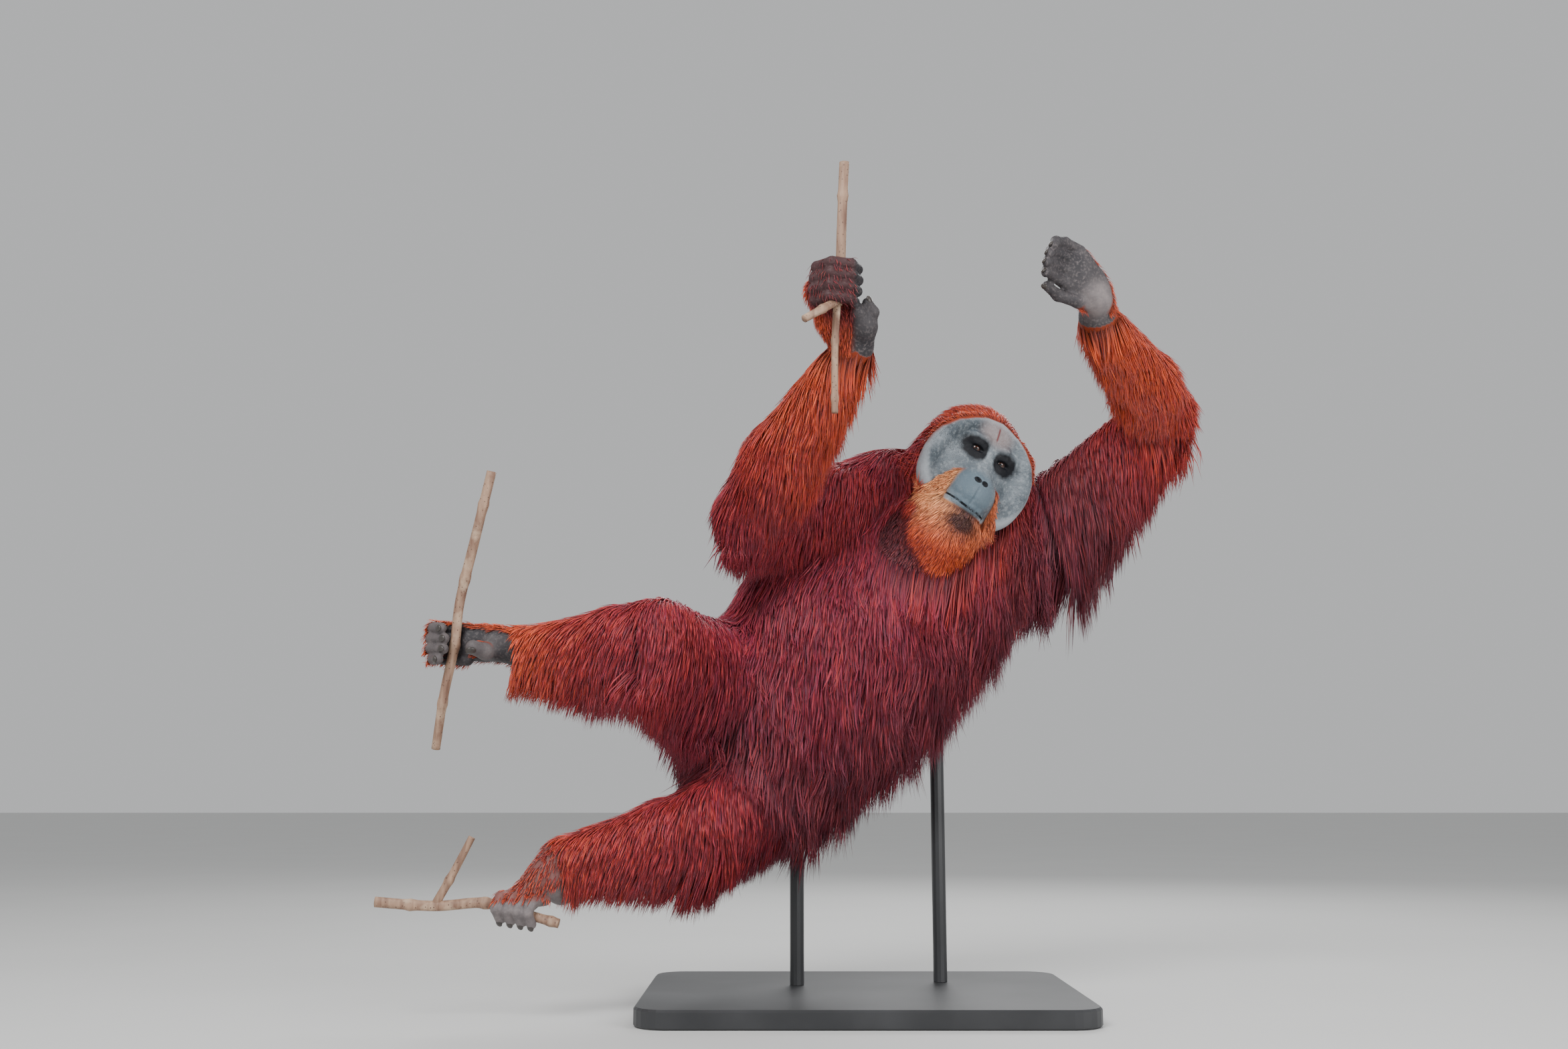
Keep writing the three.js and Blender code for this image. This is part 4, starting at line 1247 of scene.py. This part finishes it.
def unwrapped(roots, parts):
    """Each root's place on an unwrap of the skin: every part's surface opened out in its own rectangle."""
    places = np.zeros((len(roots), 2))
    shelf = {"trunk": (0.02, 0.02, 0.56, 0.44), "throat": (0.60, 0.40, 0.10, 0.08)}
    shelf["head"] = (0.60, 0.02, 0.36, 0.34)
    limbs = [n for n in PART_NAMES if n not in shelf]
    for i, name in enumerate(limbs):
        shelf[name] = (0.02 + (i % 4) * 0.24, 0.51 + (i // 4) * 0.165, 0.22, 0.15)
    for row, name in enumerate(PART_NAMES):
        mine = parts == row
        start, end = COAT[name].start, COAT[name].end
        if name == "head":
            h = to_head(roots[mine])
            u = 0.5 + np.arctan2(h[:, 0], -(h[:, 1] - 0.08)) / (2 * np.pi)
            v = np.clip((h[:, 2] + 0.2) / 0.34, 0, 1)
        else:
            axis = unit(end - start)
            side = unit(np.cross(axis, (0.12, 0.97, 0.2)))
            offset = roots[mine] - start
            t = offset @ axis
            u = (t - t.min()) / max(np.ptp(t), 1e-6) if mine.any() else t
            v = 0.5 + np.arctan2(offset @ np.cross(axis, side), offset @ side) / (2 * np.pi)
        x, y, w, d = shelf[name]
        places[mine] = np.stack([x + u * w, y + v * d], axis=1)
    return places


class CoatPiece(NamedTuple):
    """One piece of the coat: the parts it grows on, its locks, their segments and the side it covers."""

    parts: tuple
    locks: int
    segments: int
    side: str = "all"


COAT_PIECES = {
    "coat_chest": CoatPiece(("trunk", "throat"), 9000, 4, "front above the waist"),
    "coat_belly": CoatPiece(("trunk",), 9000, 4, "front below the waist"),
    "coat_back": CoatPiece(("trunk",), 9000, 4, "back"),
    "coat_arm_right": CoatPiece(("upper_arm_r", "forearm_r"), 10500, 3),
    "coat_arm_left": CoatPiece(("upper_arm_l", "forearm_l"), 10500, 3),
    "coat_leg_right": CoatPiece(("thigh_r", "shin_r"), 10500, 3),
    "coat_leg_left": CoatPiece(("thigh_l", "shin_l"), 10500, 3),
    "coat_head": CoatPiece(("head",), 12000, 3),
    "coat_hands_feet": CoatPiece(HANDS_AND_FEET, 4500, 3),
}
BACKWARDS = unit((0.05, 1.0, 0.1))


def head_flow(points):
    """The lie of the hair on the head: out from the face, back over the crown and down in the beard."""
    h = to_head(points)
    x, y, z = h.T
    away = unit(np.stack([x * 1.1, 0.11 + np.clip(y, 0.0, 0.2), z * 0.45 - 0.02], axis=1))
    beard = ramp(z, -0.04, -0.065) * ramp(y, 0.05, 0.02)
    spread = 1.5 * ramp(z, -0.10, -0.06) + 0.75
    down = unit(np.stack([x * spread, np.full(len(x), -0.004), np.full(len(x), -0.085)], axis=1))
    local = unit(away * (1 - beard)[:, None] + down * beard[:, None])
    nape = ramp(y, 0.05, 0.14)[:, None]
    return unit((local @ HEAD_AXES.T) * (1 - 0.5 * nape) + DOWN * 0.5 * nape), beard


# Lengths of the locks on the head, in metres.
CROWN_LENGTH, RIM_LENGTH, BEARD_LENGTH, MOUSTACHE_LENGTH = 0.055, 0.032, 0.040, 0.016


def coat_plan(points, normals, parts, dark):
    """Flow, length, width, droop and lift of the lock that grows at each point."""
    n = len(points)
    flow, length = np.zeros((n, 3)), np.zeros(n)
    width, droop, lift = np.zeros(n), np.zeros(n), np.zeros(n)
    under = ramp(normals @ DOWN, -0.35, 0.75)
    for row, hair in enumerate(COAT.values()):
        mine = parts == row
        flow[mine] = unit(hair.end - hair.start)
        length[mine] = hair.top + (hair.under - hair.top) * under[mine]
        length[mine] *= 1 + (hair.taper - 1) * along(points[mine], hair)
        width[mine], droop[mine], lift[mine] = hair.width, hair.droop, hair.lift
    flow = unit(flow + DOWN * (0.35 + 0.75 * droop)[:, None])
    head = on(parts, "head", "throat")
    if head.any():
        h = to_head(points[head])
        flow[head], beard = head_flow(points[head])
        rim = ramp(h[:, 1], 0.05, 0.02)
        moustache = beard * ramp(h[:, 2], -0.115, -0.095)
        reach = CROWN_LENGTH * (1 - rim) + RIM_LENGTH * rim
        reach = reach * (1 - beard) + BEARD_LENGTH * beard
        reach = reach * (1 - moustache) + MOUSTACHE_LENGTH * moustache
        length[head] = reach * (1 - 0.7 * dark[head])
        width[head] *= 1 - 0.35 * moustache
    flow = flow - normals * (flow * normals).sum(1, keepdims=True)
    small = np.linalg.norm(flow, axis=1) < 0.05
    flow[small] += np.cross(normals[small], (0.2, 0.9, 0.1))
    return unit(flow), length, width, droop, lift


def scatter(vertices, triangles, weights, count, rng):
    """Random places on the chosen triangles, spread by area and weight."""
    a, b, c = (vertices[triangles[:, i]] for i in range(3))
    area = np.linalg.norm(np.cross(b - a, c - a), axis=1) * weights
    total = np.cumsum(area)
    spread = (np.arange(count) + rng.uniform(0, 1, count)) / count * total[-1]
    pick = np.minimum(np.searchsorted(total, spread), len(triangles) - 1)
    u, v = rng.uniform(0, 1, (2, count))
    flip = u + v > 1
    u, v = np.where(flip, 1 - u, u), np.where(flip, 1 - v, v)
    return pick, np.stack([1 - u - v, u, v], axis=1)


# How closely the locks keep to the skin, 0 to 1, and the width of a lock's patch on the baking map.
HEAD_HUG, BODY_HUG = 0.95, 0.05
BAKE_PATCH = 0.003


def coat_weights(name, step):
    """How densely a piece of the coat grows on each triangle of the skin."""
    piece = COAT_PIECES[name]
    _, triangles, normals = skin_mesh(step)
    centres, parts, bare = skin_regions(step)
    wanted = on(parts, *piece.parts)
    behind = (normals[triangles].mean(1) @ BACKWARDS) > 0
    above = (centres - WAIST) @ SPINE_AXIS > 0
    if piece.side == "back":
        wanted &= behind
    elif piece.side != "all":
        wanted &= ~behind & (above == (piece.side == "front above the waist"))
    weights = wanted * np.clip(1.15 - 1.6 * bare, 0.0, 1.0)
    if name == "coat_head":
        h = to_head(centres)
        weights = weights * (0.35 + 1.3 * ramp(h[:, 1], 0.10, 0.03) + 1.2 * ramp(h[:, 2], -0.04, -0.08))
        from_ear = h * (1.0, 1.0, 0.6) - np.sign(h[:, :1]) * (0.098, 0, 0) - (0, 0.066, 0.001)
        weights = weights * ramp(np.linalg.norm(from_ear, axis=1), 0.014, 0.022)
    return weights


def bake_map(made, places, across, up, faces):
    """The OFBake map: each lock a small patch at its root's place on the unwrap."""
    count = len(places)
    patch = BAKE_PATCH * np.stack([np.tile(across, count) - 0.5, np.tile(up, count) - 0.5], axis=1)
    spots = (np.repeat(places, len(across), axis=0) + patch)[faces.ravel()]
    layer = made.data.uv_layers.new(name="OFBake")
    layer.data.foreach_set("uv", spots.astype(np.float32).ravel())


def make_coat(name, material, settings):
    """One piece of the coat as a joined mesh of tapering locks."""
    step, count = settings.grid_step, COAT_PIECES[name].locks
    vertices, triangles, normals = skin_mesh(step)
    rng = np.random.default_rng(RANDOM_SEED + 31 * list(COAT_PIECES).index(name))
    pick, mixed = scatter(vertices, triangles, coat_weights(name, step), count, rng)
    roots = (vertices[triangles[pick]] * mixed[..., None]).sum(1)
    out = unit((normals[triangles[pick]] * mixed[..., None]).sum(1))
    here = skin_regions(step)[1][pick]
    _, orange, pale, dark = markings(roots, out, here)
    flow, length, width, droop, lift = coat_plan(roots, out, here, dark)
    length = length * rng.uniform(0.72, 1.12, count) * settings.hair_length
    width = width * rng.uniform(0.6, 1.15, count) * settings.hair_width
    clearance = length * rng.uniform(0.02, 0.16, count) + 0.001
    hug = BODY_HUG
    if name == "coat_head":
        clearance = length * rng.uniform(0.02, 0.22, count) + 0.001
        hug = HEAD_HUG
    segments = COAT_PIECES[name].segments
    paths = grow_locks(roots, out, flow, length, droop, lift, clearance, hug, step, segments, rng)
    paths = gather(paths, roots, np.clip(length * 0.16, 0.004, 0.02), 0.5, rng)
    points, faces, across, up = lock_mesh(paths, out, width)
    made = new_object(name, points, faces, material)
    orange = np.clip(orange + rng.normal(0, 0.10, count), 0, 1)
    set_vectors(made, "marking", [np.repeat(v, len(across)) for v in (orange, pale, dark)])
    seed = np.repeat(rng.uniform(0, 1, count), len(across))
    set_vectors(made, "lock", [np.tile(across, count), np.tile(up, count), seed])
    bake_map(made, unwrapped(roots, here), across, up, faces)
    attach(made, "root")
    return made


@functools.lru_cache(maxsize=None)
def skin_regions(step):
    """Centre, body part and bareness of every triangle of the skin."""
    vertices, triangles, normals = skin_mesh(step)
    centres = vertices[triangles].mean(1)
    parts = parts_of(centres)
    bare = markings(centres, unit(normals[triangles].mean(1)), parts)[0]
    return centres, parts, bare


LIGHT_PALM = mm(440, -305, 1332)
PAD_CENTRE = mm(0, 0, -30)


def make_skin(material, settings):
    """The whole skin as one mesh, in place of the nodes of flesh."""
    vertices, triangles, normals = skin_mesh(settings.grid_step)
    parts = parts_of(vertices)
    bare, orange, pale, dark = markings(vertices, normals, parts)
    eyes, muzzle, brow, rim, crease = face_tints(vertices, parts)
    hands = on(parts, *HANDS_AND_FEET)
    from_palm = np.linalg.norm(vertices - LIGHT_PALM, axis=1)
    light = hands * ramp(from_palm, 0.055, 0.02) * 0.7
    light = np.maximum(light, on(parts, "foot_l") * 0.6)
    light = np.maximum(light, on(parts, "foot_r") * ramp(vertices[:, 1], -0.255, -0.27) * 0.6)
    hand = np.where(hands, 0.5 + 0.5 * light, 0.0)
    made = new_object("skin", vertices, triangles, material)
    set_vectors(made, "marking", [bare, orange, pale])
    # The eyes value also carries the painted shade of the mouth line and nostrils.
    set_vectors(made, "tint", [dark, eyes, muzzle])
    # The third value is the painted highlight of the pad rim less the painted shade of the forehead crease.
    set_vectors(made, "tint_more", [brow, hand, rim - crease])
    x, y, z = (to_head(vertices) - PAD_CENTRE).T
    set_vectors(made, "rays", [np.arctan2(x, z), np.hypot(x, z), y])
    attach(made, "root")
    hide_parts(*FLESH_NODES)
    return made


FLESH_NODES = ["head", "beard", "throat_sac", "neck", "chest", "belly", "pelvis"]
for limb in ("cheek_pad", "ear", "upper_arm", "forearm", "hand", "thigh", "shin", "foot"):
    FLESH_NODES += [limb + "_right", limb + "_left"]


def make_eye(name, node, side, material):
    """One eyeball with its pupil turned towards the viewer."""
    centre = in_head(side * EYE_SPACING * 1000, -EYE_DEPTH * 1000, 0)
    gaze = unit(unit(CAMERA_PLACE - centre) * 0.6 - HEAD_AXES[:, 1] * 0.4)
    across = unit(np.cross(gaze, (0, 0, 1)))
    axes = np.array((across, np.cross(gaze, across), gaze)).T
    vertices, triangles = ball(centre, (EYE_RADIUS,) * 3, axes, 48, 40)
    angle = np.arccos(np.clip((vertices - centre) @ gaze / EYE_RADIUS, -1, 1))
    made = new_object(name, vertices, triangles, material)
    set_vectors(made, "gaze", [angle, angle * 0, angle * 0])
    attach(made, "root")
    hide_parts(node)
    return made


def nail_at(points, radius):
    """A nail on the outer side of a digit's last joint."""
    a, b, c = (np.asarray(p) for p in points[-3:])
    along = unit(c - b)
    inner = unit(a - b) + unit(c - b)
    outer = unit(-(inner - along * (inner @ along)))
    side = np.cross(along, outer)
    axes = np.array((side, along, outer)).T
    place = c + outer * radius * 0.72 + along * radius * 0.35
    return ball(place, (radius * 0.68, radius * 0.85, radius * 0.36), axes, 16, 10)


def make_nails(material):
    """The nails of all the fingers and toes."""
    pieces = [nail_at(p, 0.0095) for p in right_fingers()] + [nail_at(p, 0.0085) for p in left_fingers()]
    pieces += [nail_at(p, 0.0102) for p in right_toes()] + [nail_at(p, 0.0092) for p in left_toes()]
    pieces += [nail_at(p, r) for p, r in zip(THUMBS.values(), (0.010, 0.009, 0.0135, 0.0112))]
    made = new_object("nails", *merged(pieces), material)
    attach(made, "root")
    return made


# Each vine's stems: their points and their radii, in millimetres.
PERCHES = {
    "perch_vine_hand": [
        ([(-38, -418, 1560), (-44, -412, 1440), (-47, -400, 1350), (-52, -398, 1292)], [9, 9, 9, 8.5]),
        ([(-52, -398, 1300), (-76, -430, 1276), (-114, -452, 1248)], [8, 7.5, 7]),
        ([(-52, -400, 1298), (-57, -396, 1210), (-58, -388, 1090)], [7, 6.5, 6]),
    ],
    "perch_vine_foot": [
        (
            [(-694, -301, 1000), (-722, -290, 880), (-752, -267, 760), (-760, -263, 680)]
            + [(-776, -262, 590), (-792, -240, 490)],
            [9, 9, 9, 9, 8.6, 8],
        ),
    ],
    "perch_branch_low": [
        (
            [(-900, -206, 214), (-791, -204, 206), (-700, -214, 212), (-640, -216, 197), (-560, -222, 176)],
            [9.5, 9.5, 9.5, 9, 8.5],
        ),
        ([(-791, -204, 206), (-760, -206, 262), (-726, -208, 330)], [8, 7.5, 6.5]),
    ],
}


def make_perch(node, material, settings):
    """One cut length of vine or branch, with its nodes and cut ends."""
    pieces = []
    for i, (points, radii) in enumerate(PERCHES[node]):
        places = [mm(*p) for p in points]
        radii = [r / 1000 for r in radii]
        pieces.append(tube(places, radii, 20, 70, settings.knot_size, RANDOM_SEED + i))
    made = new_object(node.replace("perch_", "vine_"), *merged(pieces), material)
    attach(made, "root")
    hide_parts(node)
    return made


def floor_material(colour):
    """Plain pale studio floor with faint unevenness."""
    s = Shader("studio_floor")
    return s.finish(s.mix(s.noise(2.0, 3.0), colour[:], (0.64, 0.64, 0.63)), Roughness=0.8)


def add_light(name, place, aim, size, power):
    """A soft area light that faces a point."""
    light = bpy.data.lights.new(name, "AREA")
    light.shape = "DISK"
    light.size = size
    light.energy = power
    made = bpy.data.objects.new(name, light)
    made.location = place
    made.rotation_euler = (Vector(aim) - Vector(place)).to_track_quat("-Z", "Y").to_euler()
    bpy.context.scene.collection.objects.link(made)
    return made


def colour_property(name, description, default):
    """A colour that a user may change."""
    return bpy.props.FloatVectorProperty(
        name=name, description=description, default=default, min=0.0, max=1.0, size=3, subtype="COLOR"
    )


class OrangutanSettings(bpy.types.PropertyGroup):
    """Sizes and colours of the figure that a user may change."""

    coat_maroon: colour_property("Maroon hair", "Coat on the trunk", (0.200, 0.013, 0.038))
    coat_red: colour_property("Red hair", "Coat between trunk and limbs", (0.40, 0.030, 0.022))
    coat_orange: colour_property("Orange hair", "Coat on forearms, shins and crown", (0.66, 0.095, 0.020))
    coat_pale: colour_property("Pale hair", "Palest hair of the beard", (1.0, 0.45, 0.19))
    # Colour of the darkest hair, also used for painted shade on the flank and left shoulder.
    coat_dark_and_shade: colour_property("Dark hair", "Darkest hair of flank and throat", (0.030, 0.020, 0.018))
    face_grey: colour_property("Face", "Bare skin of the cheek pads", (0.205, 0.235, 0.258))
    muzzle_grey: colour_property("Muzzle", "Bare skin of the upper lip", (0.105, 0.150, 0.185))
    iris: colour_property("Iris", "Lighter streaks of the iris", (0.075, 0.018, 0.007))
    bark: colour_property("Bark", "Bark of the vines", (0.42, 0.27, 0.18))
    stand_paint: colour_property("Stand", "Powder coat of the stand", (0.022, 0.023, 0.025))
    grid_step: bpy.props.FloatProperty(
        name="Skin grid",
        description="Spacing of the grid the skin is drawn from",
        default=0.007,
        min=0.004,
        max=0.02,
        unit="LENGTH",
    )
    hair_length: bpy.props.FloatProperty(
        name="Hair length",
        description="Length of the locks against the coat as photographed",
        default=1.0,
        min=0.3,
        max=1.3,
        subtype="FACTOR",
    )
    hair_width: bpy.props.FloatProperty(
        name="Lock width",
        description="Width of the locks against the coat as photographed",
        default=1.0,
        min=0.3,
        max=2.0,
        subtype="FACTOR",
    )
    knot_size: bpy.props.FloatProperty(
        name="Vine knots",
        description="How far the nodes of the vines stand out",
        default=0.22,
        min=0.0,
        max=0.5,
        subtype="FACTOR",
    )


class StageSettings(bpy.types.PropertyGroup):
    """Light and floor of the stage."""

    floor_colour: colour_property("Floor colour", "Colour of the floor", (0.60, 0.60, 0.59))
    key_power: bpy.props.FloatProperty(
        name="Key light",
        description="Power of the main light",
        default=190.0,
        min=0.0,
        unit="POWER",
    )
    fill_power: bpy.props.FloatProperty(
        name="Fill light",
        description="Power of the fill light and of the back light",
        default=80.0,
        min=0.0,
        unit="POWER",
    )
    floor_size: bpy.props.FloatProperty(
        name="Floor",
        description="Half the width of the floor",
        default=30.0,
        min=2.0,
        unit="LENGTH",
    )


class ORANGUTAN_OT_skin(bpy.types.Operator):
    """Build the skin of the whole body"""

    bl_idname = "orangutan.skin"
    bl_label = "Skin"

    def execute(self, context):
        make_skin(skin_material(context.scene.orangutan), context.scene.orangutan)
        return {"FINISHED"}


class ORANGUTAN_OT_eyes(bpy.types.Operator):
    """Build both eyes"""

    bl_idname = "orangutan.eyes"
    bl_label = "Eyes"

    def execute(self, context):
        material = eye_material(context.scene.orangutan)
        make_eye("eyeball_right", "eye_right", -1, material)
        make_eye("eyeball_left", "eye_left", 1, material)
        return {"FINISHED"}


class ORANGUTAN_OT_nails(bpy.types.Operator):
    """Build the nails of hands and feet"""

    bl_idname = "orangutan.nails"
    bl_label = "Nails"

    def execute(self, context):
        make_nails(nail_material())
        return {"FINISHED"}


class ORANGUTAN_OT_coat(bpy.types.Operator):
    """Build every piece of the coat"""

    bl_idname = "orangutan.coat"
    bl_label = "Coat"

    def execute(self, context):
        material = coat_material(context.scene.orangutan)
        for name in COAT_PIECES:
            make_coat(name, material, context.scene.orangutan)
        return {"FINISHED"}


class ORANGUTAN_OT_perches(bpy.types.Operator):
    """Build the cut vines and the branch"""

    bl_idname = "orangutan.perches"
    bl_label = "Perches"

    def execute(self, context):
        material = vine_material(context.scene.orangutan)
        for node in PERCHES:
            make_perch(node, material, context.scene.orangutan)
        return {"FINISHED"}


class ORANGUTAN_OT_stand(bpy.types.Operator):
    """Give the display stand its finish"""

    bl_idname = "orangutan.stand"
    bl_label = "Stand"

    def execute(self, context):
        material = stand_material(context.scene.orangutan)
        for node in ("stand_base", "stand_rod_rump", "stand_rod_back"):
            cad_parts[node].material_slots[0].material = material
        return {"FINISHED"}


class ORANGUTAN_OT_stage(bpy.types.Operator):
    """Build the floor, the lights and the camera"""

    bl_idname = "orangutan.stage"
    bl_label = "Stage"

    def execute(self, context):
        settings = context.scene.orangutan_stage
        w = settings.floor_size
        corners = np.array([(-w, -w, 0), (w, -w, 0), (w, w, 0), (-w, w, 0)], dtype=float)
        halves = np.array([(0, 1, 2), (0, 2, 3)])
        floor = new_object("floor", corners, halves, floor_material(settings.floor_colour))
        add_light("key_light", (-1.6, -3.2, 3.4), (0, 0, 0.9), 2.2, settings.key_power)
        add_light("fill_light", (2.6, -2.4, 1.6), (0, 0, 0.9), 2.4, settings.fill_power)
        add_light("back_light", (0.8, 3.0, 3.0), (0, 0, 1.0), 2.0, settings.fill_power)
        world = bpy.data.worlds.new("studio")
        world.use_nodes = True
        sky = world.node_tree.nodes["Background"]
        sky.inputs["Color"].default_value = (0.80, 0.81, 0.82, 1.0)
        sky.inputs["Strength"].default_value = 0.68
        context.scene.world = world
        camera = bpy.data.cameras.new("camera")
        camera.lens = LENS
        camera.sensor_width = SENSOR_WIDTH
        placed = bpy.data.objects.new("camera", camera)
        placed.location = CAMERA_PLACE
        placed.rotation_euler = Euler((CAMERA_TILT, 0.0, 0.0))
        context.scene.collection.objects.link(placed)
        context.scene.camera = placed
        return {"FINISHED"}


class ORANGUTAN_PT_panel(bpy.types.Panel):
    """Lists the steps that build the figure"""

    bl_label = "Orangutan"
    bl_idname = "ORANGUTAN_PT_panel"
    bl_space_type = "VIEW_3D"
    bl_region_type = "UI"
    bl_category = "Orangutan"

    def draw(self, context):
        for settings, names in (
            (context.scene.orangutan, OrangutanSettings.__annotations__),
            (context.scene.orangutan_stage, StageSettings.__annotations__),
        ):
            for name in names:
                self.layout.prop(settings, name)
        for step in STEPS:
            self.layout.operator(step.bl_idname)


STEPS = (
    ORANGUTAN_OT_stage,
    ORANGUTAN_OT_skin,
    ORANGUTAN_OT_eyes,
    ORANGUTAN_OT_nails,
    ORANGUTAN_OT_perches,
    ORANGUTAN_OT_stand,
    ORANGUTAN_OT_coat,
)
CLASSES = (OrangutanSettings, StageSettings) + STEPS + (ORANGUTAN_PT_panel,)


def register():
    for made in CLASSES:
        bpy.utils.register_class(made)
    bpy.types.Scene.orangutan = bpy.props.PointerProperty(type=OrangutanSettings)
    bpy.types.Scene.orangutan_stage = bpy.props.PointerProperty(type=StageSettings)


def unregister():
    del bpy.types.Scene.orangutan_stage
    del bpy.types.Scene.orangutan
    for made in reversed(CLASSES):
        bpy.utils.unregister_class(made)


def main():
    register()
    bpy.ops.orangutan.stage()
    bpy.ops.orangutan.skin()
    bpy.ops.orangutan.eyes()
    bpy.ops.orangutan.nails()
    bpy.ops.orangutan.perches()
    bpy.ops.orangutan.stand()
    bpy.ops.orangutan.coat()


if __name__ == "__main__":
    main()
